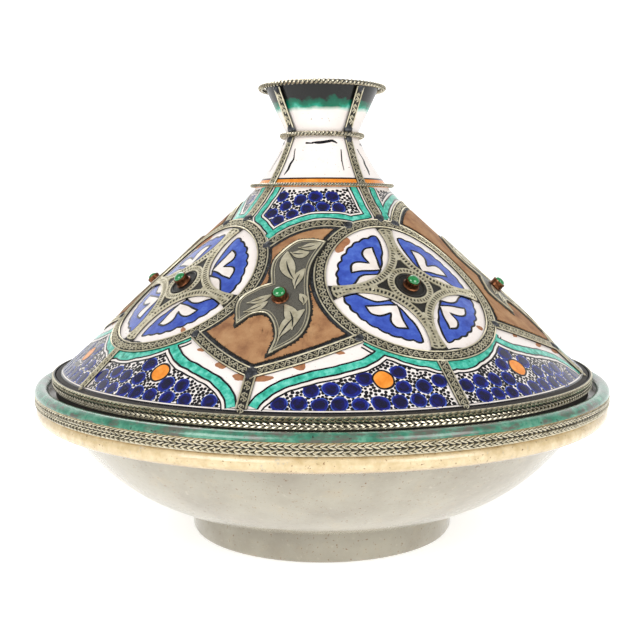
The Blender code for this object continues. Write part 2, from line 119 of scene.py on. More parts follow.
METAL_BED = 0.5  # the metal stands this far off the clay

# The layers of the painting, each laid over the last
COAT = 0.05
COAT_DEPTH = 0.12


# Charts


def round_axis(turn, r, z):
    """Turns and radii about the pot's axis as points in metres."""
    return np.stack([r * np.sin(turn), -r * np.cos(turn), z], axis=1) * MM


def on_lid(slant, height):
    """(r, z) that far up the lid's slope from the bottom of the cone, and that high off it."""
    slant = np.asarray(slant, dtype=float)
    straight = np.minimum(slant, CONE_SLANT)
    slope = LID_SLOPE + np.maximum(slant - CONE_SLANT, 0) / NECK_BEND
    r = CONE_RADIUS - straight * cos(LID_SLOPE) - NECK_BEND * (np.sin(slope) - sin(LID_SLOPE))
    z = CONE_Z + straight * sin(LID_SLOPE) + NECK_BEND * (cos(LID_SLOPE) - np.cos(slope))
    return r + height * np.sin(slope), z + height * np.cos(slope)


WAIST_Z = float(on_lid(LID_SLANT, 0)[1])
KNOB_TOP_Z = corner("lid").z
KNOB_SLANT = hypot(KNOB_RADIUS - WAIST_RADIUS, KNOB_TOP_Z - WAIST_Z)
KNOB_SLOPE = acos(-(KNOB_RADIUS - WAIST_RADIUS) / KNOB_SLANT)


def on_knob(slant, height):
    """The same up the knob from the waist."""
    slant = np.asarray(slant, dtype=float)
    r = WAIST_RADIUS - slant * cos(KNOB_SLOPE) + height * sin(KNOB_SLOPE)
    return r, WAIST_Z + slant * sin(KNOB_SLOPE) + height * cos(KNOB_SLOPE)


def cone_chart(azimuth):
    """Chart with its origin on the circle of the medallions' middles."""

    def place(x, y, height):
        reach = np.hypot(x, RING_REACH - y)
        turn = azimuth + np.arctan2(x, RING_REACH - y) / cos(LID_SLOPE)
        return round_axis(turn, *on_lid(RING_SLANT + RING_REACH - reach, height))

    return place


def strap_chart(surface, azimuth_at):
    """Chart for a strap up a surface, with y the distance up its slope."""

    def place(x, y, height):
        return round_axis(azimuth_at(y) + x / surface(y, 0)[0], *surface(y, height))

    return place


def hoop_chart(radius, middle_z):
    """Chart for what runs round the pot: x is the distance round it, y is up and z stands out."""
    return lambda x, y, height: round_axis(x / radius, radius + height, middle_z + y)


def on_ray(turn, reach):
    """Chart point at that turn about the cone's apex, that far from it."""
    return Vector((reach * sin(turn), RING_REACH - reach * cos(turn)))


# Shader and geometry nodes


def node(tree, kind, inputs=None, **settings):
    """Adds a node with its settings. An input is given a value, or is linked where a socket is given."""
    made = tree.nodes.new(kind)
    for name, value in settings.items():
        setattr(made, name, value)
    for key, value in (inputs or {}).items():
        socket = made.inputs[key]
        if isinstance(value, bpy.types.NodeSocket):
            tree.links.new(value, socket)
        else:
            socket.default_value = value
    return made


def srgb(code):
    """Linear colour from an sRGB hex value."""
    parts = [int(code[i : i + 2], 16) / 255 for i in (0, 2, 4)]
    return (*[c / 12.92 if c <= 0.04045 else ((c + 0.055) / 1.055) ** 2.4 for c in parts], 1)


def ramp(tree, factor, stops):
    """Colour ramp with (place, hex) stops."""
    made = node(tree, "ShaderNodeValToRGB", {0: factor})
    elements = made.color_ramp.elements
    while len(elements) < len(stops):
        elements.new(0.5)
    for element, (place, code) in zip(elements, stops):
        element.position = place
        element.color = srgb(code)
    return made.outputs[0]


def patches(tree, size, detail=3, rough=0.5, sharp=None, stretch=None):
    """Noise whose patches are about that many millimetres across, from 0 to 1."""
    coordinates = node(tree, "ShaderNodeTexCoord").outputs["Object"]
    if stretch:
        coordinates = node(tree, "ShaderNodeMapping", {0: coordinates, "Scale": stretch}).outputs[0]
    noise_inputs = {"Vector": coordinates, "Scale": 1 / (size * MM), "Detail": detail, "Roughness": rough}
    made = node(tree, "ShaderNodeTexNoise", noise_inputs).outputs[0]
    if sharp:
        low, high = sharp
        made = node(tree, "ShaderNodeMapRange", {0: made, 1: low, 2: high}).outputs[0]
    return made


def mixed(tree, factor, first, second):
    """Two colours mixed by a factor. A colour is a socket or a hex value."""
    pair = [c if isinstance(c, bpy.types.NodeSocket) else srgb(c) for c in (first, second)]
    inputs = {0: factor, 6: pair[0], 7: pair[1]}
    return node(tree, "ShaderNodeMix", inputs, data_type="RGBA").outputs[2]


def bump(tree, height, distance):
    """Bump of that many millimetres."""
    return node(tree, "ShaderNodeBump", {"Height": height, "Distance": distance * MM}).outputs[0]


def pores(tree, size):
    """Distance to the nearest of the points scattered about that many millimetres apart."""
    coordinates = node(tree, "ShaderNodeTexCoord").outputs["Object"]
    made = node(tree, "ShaderNodeTexVoronoi", {"Vector": coordinates, "Scale": 1 / (size * MM)})
    return made.outputs["Distance"]


MATERIALS = {}


def finish(name, build, **settings):
    """Material whose node tree the build function finishes. Settings are values of the shader's sockets."""
    made = bpy.data.materials.new(name)
    made.use_nodes = True
    tree = made.node_tree
    shader = tree.nodes["Principled BSDF"]
    for socket, value in settings.items():
        shader.inputs[socket.replace("_", " ")].default_value = value
    for socket, value in build(tree).items():
        tree.links.new(value, shader.inputs[socket])
    MATERIALS[name] = made


def glaze(dark, middle, light, size):
    """Brushed glaze colour: it pools darker and thins lighter over patches of that size."""

    def build(tree):
        pools = patches(tree, size, 4, 0.6, (0.3, 0.7))
        colour = ramp(tree, pools, [(0, dark), (0.5, middle), (1, light)])
        # Pinholes and grit in the fired glaze, under half a millimetre across
        grit = patches(tree, 0.9, 2, 0.5, (0.62, 0.75))
        return {"Base Color": colour, "Normal": bump(tree, grit, -0.03)}

    return build


def zone(tree, low, high, wander):
    """0 below the low height and 1 above the high one. Its edge wanders: (patch size, how far)."""
    split = node(tree, "ShaderNodeSeparateXYZ", {0: node(tree, "ShaderNodeTexCoord").outputs["Object"]})
    size, amount = wander
    drift = node(tree, "ShaderNodeMath", {0: patches(tree, size), 1: 0.5}, operation="SUBTRACT").outputs[0]
    settings = {0: drift, 1: amount * MM, 2: split.outputs["Z"]}
    height = node(tree, "ShaderNodeMath", settings, operation="MULTIPLY_ADD").outputs[0]
    return node(tree, "ShaderNodeMapRange", {0: height, 1: low * MM, 2: high * MM}).outputs[0]


def white_glaze(tree):
    """Tin glaze over red clay: warm white, a little pink, with faint smoky stains and iron specks."""
    body = ramp(tree, patches(tree, 22, 4, 0.6), [(0.3, "E9DFD8"), (0.7, "F1EAE6")])
    stains = patches(tree, 9, 5, 0.7, (0.6, 0.85))
    body = mixed(tree, stains, body, "D9C7B4")
    body = mixed(tree, patches(tree, 1.1, 2, 0.5, (0.71, 0.76)), body, "8A6A50")
    # The knob is dipped in green, which turns smoky black towards its rim
    dipped = zone(tree, WAIST_Z + 12.2, WAIST_Z + 14.5, wander=(9, 2.5))
    stops = [(0, "6FC2B0"), (0.12, "1E9478"), (0.3, "056A4E"), (0.5, "045440"), (0.62, "1A1A18")]
    greens = ramp(tree, zone(tree, WAIST_Z + 13, WAIST_Z + 23, wander=(6, 9)), stops)
    body = mixed(tree, dipped, body, greens)
    grit = patches(tree, 1.2, 3, 0.6)
    return {"Base Color": body, "Normal": bump(tree, grit, 0.04)}


def rim_glaze(tree):
    """Copper-green glaze, worn and smoked to grey along the roll."""
    green = ramp(tree, patches(tree, 8, 5, 0.65), [(0.25, "18543F"), (0.5, "3A7F66"), (0.8, "86B79E")])
    smoke = patches(tree, 14, 4, 0.65, (0.47, 0.6), (1, 1, 3))
    body = mixed(tree, smoke, green, "5B5A50")
    body = mixed(tree, patches(tree, 2.4, 3, 0.6, (0.66, 0.72)), body, "2B2622")
    return {"Base Color": body, "Normal": bump(tree, patches(tree, 5, 4, 0.6), 0.25)}


def slip_glaze(tree):
    """Clear glaze over pale slip: stone grey with iron specks, running tan up to the rim, where the tan below
    the cream roll is darker, partly its own colour and partly painted shadow under the rim.
    """
    body = ramp(tree, patches(tree, 30, 5, 0.6), [(0.3, "979081"), (0.6, "ABA595")])
    body = mixed(tree, patches(tree, 12, 5, 0.7, (0.55, 0.85)), body, "B3A68E")
    # Darker tan under the cream roll: partly the glaze's own tan, partly painted shadow under the rim.
    tan = ramp(tree, patches(tree, 7, 4, 0.6), [(0.3, "A2896A"), (0.7, "B9A483")])
    cream = ramp(tree, patches(tree, 5, 4, 0.6), [(0.3, "C4AC80"), (0.7, "DECBA4")])
    tan = mixed(tree, zone(tree, RIM_TOP_Z - 18, RIM_TOP_Z - 17, wander=(10, 1.2)), tan, cream)
    body = mixed(tree, zone(tree, RIM_TOP_Z - 21.5, RIM_TOP_Z - 20.5, wander=(12, 1.5)), body, tan)
    specks = patches(tree, 1.4, 3, 0.6, (0.64, 0.71))
    body = mixed(tree, patches(tree, 3.5, 5, 0.7, (0.6, 0.72)), body, "B7AE9C")
    body = mixed(tree, specks, body, "7A5A3C")
    stains = patches(tree, 5, 5, 0.7, (0.68, 0.8))
    body = mixed(tree, stains, body, "8C7452")
    return {"Base Color": body, "Normal": bump(tree, patches(tree, 6, 5, 0.65), 0.35)}


def bare_clay(tree):
    """Biscuit clay where the glaze has flaked."""
    body = ramp(tree, patches(tree, 3, 4, 0.6), [(0.3, "8E5A3A"), (0.7, "B07C55")])
    return {"Base Color": body, "Normal": bump(tree, patches(tree, 0.8, 3, 0.6), 0.1)}


def shaded_lid_edge(tree):
    """Lid's edge under its braid, coloured nearly black as painted shade for the dark gap there."""
    body = ramp(tree, patches(tree, 4, 4, 0.6), [(0.3, "171310"), (0.6, "2A231D"), (0.85, "5A4A3C")])
    return {"Base Color": body, "Normal": bump(tree, patches(tree, 1.5, 3, 0.6), 0.15)}


def worn_metal(tree):
    """Nickel silver, hand-beaten and rubbed bright on top, brown-grey where it has tarnished."""
    tarnish = patches(tree, 4, 4, 0.65, (0.35, 0.75))
    body = mixed(tree, tarnish, "E4DCC2", "B0A684")
    return {"Base Color": body, "Normal": bump(tree, patches(tree, 1.2, 3, 0.6), 0.08)}


def bright_metal(tree):
    """The braids, which hands and cloths have kept bright."""
    tarnish = patches(tree, 3, 4, 0.65, (0.45, 0.75))
    body = mixed(tree, tarnish, "C8C0AA", "7A7258")
    return {"Base Color": body, "Normal": bump(tree, patches(tree, 1.0, 2, 0.6), 0.05)}


def dark_metal(tree):
    """The same metal blackened in its hollows with tarnish and polishing dirt."""
    body = ramp(tree, patches(tree, 1.5, 4, 0.65), [(0.3, "121110"), (0.62, "26241F"), (0.8, "5A564A")])
    return {"Base Color": body, "Normal": bump(tree, patches(tree, 0.7, 3, 0.6), 0.12)}


def solder_metal(tree):
    """Grey solder and tarnish, lumpy."""
    body = ramp(tree, patches(tree, 2, 4, 0.65), [(0.3, "222326"), (0.55, "45474B"), (0.8, "7E8084")])
    return {"Base Color": body, "Normal": bump(tree, patches(tree, 1.0, 3, 0.6), 0.3)}


def engraved_metal(tree):
    """Ground of the leaf, punched all over with a fine point."""
    depth = node(tree, "ShaderNodeMapRange", {0: pores(tree, 0.55), 1: 0.1, 2: 0.5}).outputs[0]
    body = mixed(tree, depth, "1E1D1B", "6E6B61")
    return {"Base Color": body, "Normal": bump(tree, depth, 0.12)}


def hide(tree):
    """Vegetable-tanned goatskin, dry and rubbed, with small cracks and stains."""
    body = ramp(tree, patches(tree, 9, 5, 0.6), [(0.3, "7E5232"), (0.5, "A0744C"), (0.75, "B48C62")])
    body = mixed(tree, patches(tree, 2.2, 4, 0.7, (0.66, 0.78)), body, "5A3320")
    return {"Base Color": body, "Normal": bump(tree, pores(tree, 0.8), 0.08)}


def copper(tree):
    """Copper, darker than bright copper, partly from its age and partly as painted shade for the shadow round
    the stones: brown and nearly black in random patches.
    """
    # Both colours are darkened as painted shade for the shadow that the cups sit in.
    body = mixed(tree, patches(tree, 1.5, 3, 0.6, (0.35, 0.7)), "8E5C3E", "2C1A13")
    return {"Base Color": body, "Normal": bump(tree, patches(tree, 0.8, 2, 0.5), 0.05)}


def green_glass(tree):
    """Pressed green glass over foil: it glows from within, so the colour sits in the body."""
    body = mixed(tree, patches(tree, 2.5, 2, 0.5), "006430", "008C44")
    return {"Base Color": body}


def make_materials():
    """Every glaze, clay, metal and stone, ready before the pieces ask for them."""
    finish("white_tin_glaze", white_glaze, Roughness=0.24, Specular_IOR_Level=0.35)
    finish("green_rim_glaze", rim_glaze, Roughness=0.22, Coat_Weight=0.4, Coat_Roughness=0.1)
    finish("stone_slip_glaze", slip_glaze, Roughness=0.2, Coat_Weight=0.35, Coat_Roughness=0.08)
    finish("bare_clay", bare_clay, Roughness=0.8)
    finish("shaded_lid_edge", shaded_lid_edge, Roughness=0.75)
    finish("black_glaze", glaze("060608", "0B0B10", "1A1A22", 3), Roughness=0.2)
    finish("teal_glaze", glaze("0E8068", "3DB49C", "7AD2C0", 3), Roughness=0.16)
    finish("blue_glaze", glaze("263E98", "3853B0", "4E6EC4", 6), Roughness=0.16)
    finish("cobalt_glaze", glaze("06062E", "0C0E5C", "17269A", 4), Roughness=0.14)
    finish("navy_glaze", glaze("05041E", "080736", "0E0E5C", 4), Roughness=0.14)
    finish("cream_glaze", glaze("DDD2CA", "E8DFD8", "F0EAE5", 8), Roughness=0.16)
    finish("orange_glaze", glaze("D97A1E", "E88C2C", "F0A044", 4), Roughness=0.18)
    finish("worn_nickel_silver", worn_metal, Metallic=0.7, Roughness=0.36)
    finish("polished_nickel_silver", bright_metal, Metallic=1.0, Roughness=0.26)
    finish("blackened_nickel_silver", dark_metal, Metallic=0.3, Roughness=0.5)
    finish("solder", solder_metal, Metallic=0.8, Roughness=0.42)
    finish("punched_nickel_silver", engraved_metal, Metallic=0.6, Roughness=0.42)
    finish("tanned_goatskin", hide, Roughness=0.72)
    finish("aged_and_shaded_copper", copper, Metallic=1.0, Roughness=0.38)
    finish("green_glass", green_glass, Roughness=0.06, Coat_Weight=1.0, Coat_Roughness=0.02)


# Flat work


def grow(outline, amount):
    """The outline moved outwards by that much, or inwards if it is negative."""
    count = len(outline)
    points = [Vector(p) for p in outline]
    area = sum(points[i - 1].cross(points[i]) for i in range(count))
    made = []
    for i in range(count):
        before = (points[i] - points[i - 1]).normalized()
        after = (points[(i + 1) % count] - points[i]).normalized()
        along = (before + after).normalized()
        out = Vector((along.y, -along.x)) * (1 if area > 0 else -1)
        stretch = max(out.dot(Vector((before.y, -before.x)) * (1 if area > 0 else -1)), 0.5)
        made.append(points[i] + out * amount / stretch)
    return made


def circle(centre, radius, steps, start=0.0, end=2 * pi):
    """Points round a circle, or along its arc from the start to the end."""
    full = abs(end - start - 2 * pi) < 1e-6
    count = steps if full else steps + 1
    turns = [start + (end - start) * i / steps for i in range(count)]
    return [Vector((centre[0] + radius * cos(a), centre[1] + radius * sin(a))) for a in turns]


def pulled(start, pull, end, steps=16):
    """Curve from start to end, pulled toward one point."""
    shares = [i / steps for i in range(steps + 1)]
    return [(1 - t) ** 2 * start + 2 * t * (1 - t) * pull + t * t * end for t in shares]


def bezier(start, first, second, end, steps=20):
    """Curve that leaves start toward first and reaches end from second."""
    shares = [i / steps for i in range(steps + 1)]
    return [
        (1 - t) ** 3 * start + 3 * t * (1 - t) ** 2 * first + 3 * t * t * (1 - t) * second + t**3 * end
        for t in shares
    ]


def smooth(points, steps=6):
    """Closed outline through (x, y, corner) points, rounded except at its corners."""
    count = len(points)
    spots = [Vector(p[:2]) for p in points]
    slopes = []
    for i in range(count):
        slopes.append(Vector((0, 0)) if points[i][2] else (spots[(i + 1) % count] - spots[i - 1]) / 6)
    made = []
    for i in range(count):
        j = (i + 1) % count
        reach = (spots[j] - spots[i]).length / 3
        lead = slopes[i].normalized() * reach if slopes[i].length else (spots[j] - spots[i]) / 3
        trail = slopes[j].normalized() * reach if slopes[j].length else (spots[j] - spots[i]) / 3
        made.extend(bezier(spots[i], spots[i] + lead, spots[j] - trail, spots[j], steps)[:-1])
    return made


def turned_about(points, angle):
    """Points turned about the middle of a chart."""
    spin = Matrix.Rotation(angle, 2)
    return [spin @ Vector(p) for p in points]


class Flatwork:
    """Closed flat pieces on one chart, gathered in one mesh with a material for each."""

    def __init__(self, *materials):
        self.bm = bmesh.new()
        self.materials = list(materials)

    def take(self, mesh, material):
        """Adds a mesh, all in that material."""
        first = len(self.bm.faces)
        self.bm.from_mesh(mesh)
        self.bm.faces.ensure_lookup_table()
        index = self.materials.index(material)
        for face in self.bm.faces[first:]:
            face.material_index = index
        bpy.data.meshes.remove(mesh)

    def shape(self, outline, top, depth, material):
        """Filled outline with its face at that height."""
        self.take(flat_solid(outline, top, depth), material)

    def tube(self, path, height, radius, material, closed=False, sides=6):
        """Round wire along a path. Its radius is one number, or one for each point."""
        radii = radius if isinstance(radius, list) else [radius] * len(path)
        spots = [Vector((p[0], p[1], height + (p[2] if len(p) > 2 else 0))) for p in path]
        rings = []
        count = len(spots)
        for i, spot in enumerate(spots):
            before = spots[i - 1] if closed or i else spots[0]
            after = spots[(i + 1) % count] if closed or i < count - 1 else spots[-1]
            along = (after - before).normalized()
            side = along.cross(Vector((0, 0, 1))).normalized()
            up = side.cross(along)
            ring = []
            for k in range(sides):
                a = 2 * pi * (k + 0.5) / sides
                ring.append(self.bm.verts.new(spot + (side * cos(a) + up * sin(a)) * radii[i]))
            rings.append(ring)
        index = self.materials.index(material)
        pairs = list(zip(rings, rings[1:])) + ([(rings[-1], rings[0])] if closed else [])
        for a, b in pairs:
            for k in range(sides):
                quad = self.bm.faces.new((a[k], b[k], b[(k + 1) % sides], a[(k + 1) % sides]))
                quad.material_index = index
                quad.smooth = True
        if not closed:
            for cap in (rings[0][::-1], rings[-1]):
                self.bm.faces.new(cap).material_index = index

    def mesh(self, name):
        made = bpy.data.meshes.new(name)
        bmesh.ops.recalc_face_normals(self.bm, faces=self.bm.faces)
        self.bm.to_mesh(made)
        self.bm.free()
        for material in self.materials:
            made.materials.append(MATERIALS[material])
        return made


def flat_solid(outline, top, depth, step=3.0):
    """Filled outline that deep, cut a step apart so that it can bend."""
    bm = bmesh.new()
    face = bm.faces.new([bm.verts.new((p[0], p[1], top)) for p in outline])
    bm.normal_update()
    if face.normal.z < 0:
        bmesh.ops.reverse_faces(bm, faces=[face])
    bmesh.ops.triangulate(bm, faces=bm.faces, ngon_method="EAR_CLIP")
    for axis in (Vector((1, 0, 0)), Vector((0, 1, 0))):
        along = [vert.co.dot(axis) for vert in bm.verts]
        for line in range(ceil(min(along) / step), ceil(max(along) / step)):
            geometry = [*bm.verts, *bm.edges, *bm.faces]
            bmesh.ops.bisect_plane(bm, geom=geometry, dist=0.01, plane_co=axis * line * step, plane_no=axis)
    lower = bmesh.ops.extrude_face_region(bm, geom=bm.faces[:], use_keep_orig=True)["geom"]
    for vert in (v for v in lower if isinstance(v, bmesh.types.BMVert)):
        vert.co.z -= depth
    bmesh.ops.recalc_face_normals(bm, faces=bm.faces)
    mesh = bpy.data.meshes.new("sheet")
    bm.to_mesh(mesh)
    bm.free()
    return mesh


def wrapped(mesh, place, wobble=0.0):
    """Wraps a flat mesh round the pot, its lines trembling by up to the wobble as a brush does."""
    co = np.empty(len(mesh.vertices) * 3)
    mesh.vertices.foreach_get("co", co)
    x, y, h = co.reshape(-1, 3).T
    if wobble:
        dx = np.sin(x / 1.3 + y / 2.1) + np.sin(x / 3.7 - y / 2.9 + 1)
        dy = np.sin(x / 2.3 - y / 1.4 + 2) + np.sin(x / 3.1 + y / 4.3)
        x, y = x + dx * wobble / 2, y + dy * wobble / 2
    mesh.vertices.foreach_set("co", place(x, y, h).ravel())
    mesh.update()
    return mesh


def piece(name, mesh, body, slot, *replaces, angle=40):
    """Makes a finished piece that rides on a body."""
    mesh.shade_smooth()
    mesh.set_sharp_from_angle(angle=radians(angle))
    made = bpy.data.objects.new(name, mesh)
    bpy.context.scene.collection.objects.link(made)
    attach(made, body)
    if replaces:
        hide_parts(*replaces)
    return made


# What repeats


def new_tree(name, **inputs):
    """Geometry tree with inputs of those kinds, and the sockets that give them."""
    tree = bpy.data.node_groups.new(name, "GeometryNodeTree")
    for title, kind in inputs.items():
        tree.interface.new_socket(title, in_out="INPUT", socket_type=f"NodeSocket{kind}")
    tree.interface.new_socket("Work", in_out="OUTPUT", socket_type="NodeSocketGeometry")
    return tree, node(tree, "NodeGroupInput").outputs


def set_motifs(tree, given, points, **settings):
    """Ends a tree with its motif on the points, as real geometry in its material."""
    motif = node(tree, "GeometryNodeObjectInfo", {"Object": given["Motif"]}).outputs["Geometry"]
    settings |= {"Points": points, "Instance": motif}
    placed = node(tree, "GeometryNodeInstanceOnPoints", settings).outputs[0]
    real = node(tree, "GeometryNodeRealizeInstances", {0: placed}).outputs[0]
    dressed = node(tree, "GeometryNodeSetMaterial", {0: real, "Material": given["Material"]}).outputs[0]
    node(tree, "NodeGroupOutput", {0: dressed})
    return tree


def repeat_tree():
    """Sets a motif along a path, a pitch apart, its x along the path."""
    inputs = {"Path": "Geometry", "Motif": "Object", "Pitch": "Float", "Material": "Material"}
    tree, given = new_tree("repeat_along_path", **inputs)
    curve = node(tree, "GeometryNodeMeshToCurve", {0: given["Path"]}).outputs[0]
    lengths = {"Curve": curve, "Length": given["Pitch"]}
    spaced = node(tree, "GeometryNodeResampleCurve", lengths, mode="LENGTH")
    tangent = node(tree, "GeometryNodeInputTangent").outputs[0]
    turn = node(tree, "FunctionNodeAlignRotationToVector", {"Vector": tangent}, axis="X", pivot_axis="Z")
    return set_motifs(tree, given, spaced.outputs[0], Rotation=turn.outputs[0])


def scatter_tree():
    """Scatters a motif over a field, at least a spacing apart, each turned and sized at random."""
    inputs = {"Field": "Geometry", "Motif": "Object", "Spacing": "Float", "Smallest": "Float"}
    tree, given = new_tree("scatter_over_field", **inputs, Seed="Int", Material="Material")
    seed = given["Seed"]
    spread = {"Mesh": given["Field"], "Distance Min": given["Spacing"], "Density Max": 10.0, "Seed": seed}
    points = node(tree, "GeometryNodeDistributePointsOnFaces", spread, distribute_method="POISSON")
    turns = {"Max": (0, 0, 2 * pi), "Seed": seed}
    turn = node(tree, "FunctionNodeRandomValue", turns, data_type="FLOAT_VECTOR").outputs["Value"]
    size = node(tree, "FunctionNodeRandomValue", {2: given["Smallest"], 3: 1.0, "Seed": seed}).outputs[1]
    return set_motifs(tree, given, points.outputs["Points"], Rotation=turn, Scale=size)


def grown(tree, base, motif, material, **values):
    """Mesh that a tree makes from a base mesh and a motif mesh."""
    base_object = bpy.data.objects.new("base", base)
    motif_object = bpy.data.objects.new("motif", motif)
    for obj in (base_object, motif_object):
        bpy.context.scene.collection.objects.link(obj)
    modifier = base_object.modifiers.new("grow", "NODES")
    modifier.node_group = tree
    names = {item.name: item.identifier for item in tree.interface.items_tree if item.in_out == "INPUT"}
    modifier[names["Motif"]] = motif_object
    modifier[names["Material"]] = MATERIALS[material]
    for name, value in values.items():
        modifier[names[name]] = value
    bpy.context.view_layer.update()
    evaluated = base_object.evaluated_get(bpy.context.evaluated_depsgraph_get())
    made = bpy.data.meshes.new_from_object(evaluated)
    bpy.data.objects.remove(base_object)
    bpy.data.objects.remove(motif_object)
    bpy.data.meshes.remove(base)
    return made


def path_mesh(path, height, closed=False):
    """A path as a mesh of edges at one height."""
    mesh = bpy.data.meshes.new("path")
    count = len(path)
    edges = [(i, i + 1) for i in range(count - 1)] + ([(count - 1, 0)] if closed else [])
    mesh.from_pydata([(p[0], p[1], height) for p in path], edges, [])
    return mesh


def dot_motif(radius, sides, depth=COAT_DEPTH, dome=0.0):
    """Small disc of paint, or a low boss."""
    bm = bmesh.new()
    rim = [bm.verts.new((p[0], p[1], 0)) for p in circle((0, 0), radius, sides)]
    foot = [bm.verts.new((v.co.x, v.co.y, -depth)) for v in rim]
    top = bm.verts.new((0, 0, dome))
    bm.faces.new(foot[::-1])
    for i in range(sides):
        j = (i + 1) % sides
        bm.faces.new((foot[i], foot[j], rim[j], rim[i]))
        bm.faces.new((rim[i], rim[j], top))
    mesh = bpy.data.meshes.new("dot")
    bm.to_mesh(mesh)
    bm.free()
    return mesh


def resampled(path, step):
    """The path with points at most a step apart."""
    made = [path[0]]
    for a, b in zip(path, path[1:]):
        count = max(1, ceil((b - a).length / step))
        made.extend(a.lerp(b, (k + 1) / count) for k in range(count))
    return made


def beside_path(path, shift, closed=False):
    """The path moved to its left."""
    count = len(path)
    made = []
    for i, point in enumerate(path):
        ahead = path[(i + 1) % count] if closed else path[min(i + 1, count - 1)]
        behind = path[i - 1] if closed else path[max(i - 1, 0)]
        along = ahead - behind
        made.append(point + Vector((-along.y, along.x)).normalized() * shift)
    return made


def strip(work, path, width, top, material, shift=0.0, closed=False, lanes=2, depth=None):
    """Solid strip along a path. Its width is one number, or one for each point."""
    depth = top + COAT if depth is None else depth
    index = work.materials.index(material)
    rows = []
    wides = width if isinstance(width, list) else [width] * len(path)
    lefts = beside_path(path, 1.0, closed)
    for point, left, wide in zip(path, lefts, wides):
        side = left - point
        row = [point + side * (shift + wide * (0.5 - k / lanes)) for k in range(lanes + 1)]
        upper = [work.bm.verts.new((p.x, p.y, top)) for p in row]
        lower = [work.bm.verts.new((p.x, p.y, top - depth)) for p in row]
        rows.append(upper + lower[::-1])
    around = 2 * (lanes + 1)
    pairs = list(zip(rows, rows[1:])) + ([(rows[-1], rows[0])] if closed else [])
    for a, b in pairs:
        for k in range(around):
            j = (k + 1) % around
            work.bm.faces.new((a[k], a[j], b[j], b[k])).material_index = index
    if not closed:
        for row in (rows[0], rows[-1]):
            for k in range(lanes):
                quad = (row[k], row[k + 1], row[around - 2 - k], row[around - 1 - k])
                work.bm.faces.new(quad).material_index = index


def stack(work, path, coats, first):
    """Painted band with its edging: each (material, width) is laid over the last."""
    for number, (material, width) in enumerate(coats):
        widest = max(width) if isinstance(width, list) else width
        lanes = max(2, ceil(widest / 2.5))
        strip(work, path, width, COAT * (first + number), material, lanes=lanes)


def paint(work, outline, coat, material):
    """One flat coat of glaze, in its place in the stack of coats."""
    work.shape(outline, COAT * coat, COAT * (coat + 1), material)


def outlined(work, outline, coat, material, line=1.0):
    """Shape with a brushed black line round it."""
    paint(work, outline, coat, material)
    edge = resampled(outline + outline[:1], 2.5)[:-1]
    strip(work, edge, line, COAT * (coat + 1), "black_glaze", closed=True)


def in_outline(x, y, outline):
    """Whether points are inside an outline."""
    inside = np.zeros(x.shape, dtype=bool)
    for a, b in zip(outline, outline[1:] + outline[:1]):
        if a[1] != b[1]:
            crosses = (y < a[1]) != (y < b[1])
            inside ^= crosses & (x < a[0] + (y - a[1]) * (b[0] - a[0]) / (b[1] - a[1]))
    return inside


def distance_to(x, y, path):
    """Distance from points to the nearest point of a path."""
    nearest = np.full(x.shape, 1e9)
    for point in path:
        nearest = np.minimum(nearest, np.hypot(x - point[0], y - point[1]))
    return nearest


def field_mesh(inside, low, high, cell=1.0):
    """Flat mesh of the small cells whose middles are inside."""
    xs, ys = np.arange(low[0], high[0], cell), np.arange(low[1], high[1], cell)
    x, y = [axis.ravel() for axis in np.meshgrid(xs, ys)]
    chosen = inside(x + cell / 2, y + cell / 2)
    x, y = x[chosen], y[chosen]
    corners = [(x, y), (x + cell, y), (x + cell, y + cell), (x, y + cell)]
    points = np.stack([np.stack([a, b, np.zeros_like(a)], axis=1) for a, b in corners], axis=1)
    mesh = bpy.data.meshes.new("field")
    faces = np.arange(len(x) * 4).reshape(-1, 4)
    mesh.from_pydata(points.reshape(-1, 3).tolist(), [], faces.tolist())
    return mesh


def outline_within(inside, centre, count, furthest=90.0, step=0.25):
    """Outline of the region that rays from a centre cross before they leave it."""
    turns = np.linspace(0, 2 * pi, count, endpoint=False)[:, None]
    reaches = np.arange(0, furthest, step)[None, :]
    x, y = centre[0] + reaches * np.cos(turns), centre[1] + reaches * np.sin(turns)
    last = np.argmin(inside(x, y), axis=1)
    return [Vector((x[row, column], y[row, column])) for row, column in enumerate(last.tolist())]


def wobbly_disc(radius, seed, sides=22, rough=0.12):
    """Round dab of a brush."""
    random = np.random.default_rng(seed)
    phases = random.uniform(0, 2 * pi, 3)
    made = []
    for i in range(sides):
        a = 2 * pi * i / sides
        swell = sum(sin(a * k + phase) / k for k, phase in zip((2, 3, 5), phases))
        made.append(Vector((radius * (1 + rough * swell) * cos(a), radius * (1 + rough * swell) * sin(a))))
    return made


# Clay


def lathe(name, zones, segments=288):
    """Turned solid. Each zone is (material, [(r, z)]), and a zone starts where the last one ended."""
    bm = bmesh.new()
    profile = [(point, index) for index, (_, points) in enumerate(zones) for point in points]
    rows = []
    for (r, z), _ in profile:
        if r == 0:
            rows.append([bm.verts.new((0, 0, z * MM))] * segments)
            continue
        ring = []
        for k in range(segments):
            a = 2 * pi * k / segments
            ring.append(bm.verts.new((r * sin(a) * MM, -r * cos(a) * MM, z * MM)))
        rows.append(ring)
    for (a, b), (_, index) in zip(zip(rows, rows[1:]), profile[1:]):
        for k in range(segments):
            j = (k + 1) % segments
            corners = list(dict.fromkeys((a[k], a[j], b[j], b[k])))
            if len(corners) > 2:
                bm.faces.new(corners).material_index = index
    bmesh.ops.recalc_face_normals(bm, faces=bm.faces)
    mesh = bpy.data.meshes.new(name)
    bm.to_mesh(mesh)
    bm.free()
    for material, _ in zones:
        mesh.materials.append(MATERIALS[material])
    return mesh


def ellipse(centre, radii, start, end, steps):
    """Arc of an ellipse from one turn to another."""
    turns = [start + (end - start) * i / steps for i in range(steps + 1)]
    return [(centre[0] + radii[0] * cos(a), centre[1] + radii[1] * sin(a)) for a in turns]


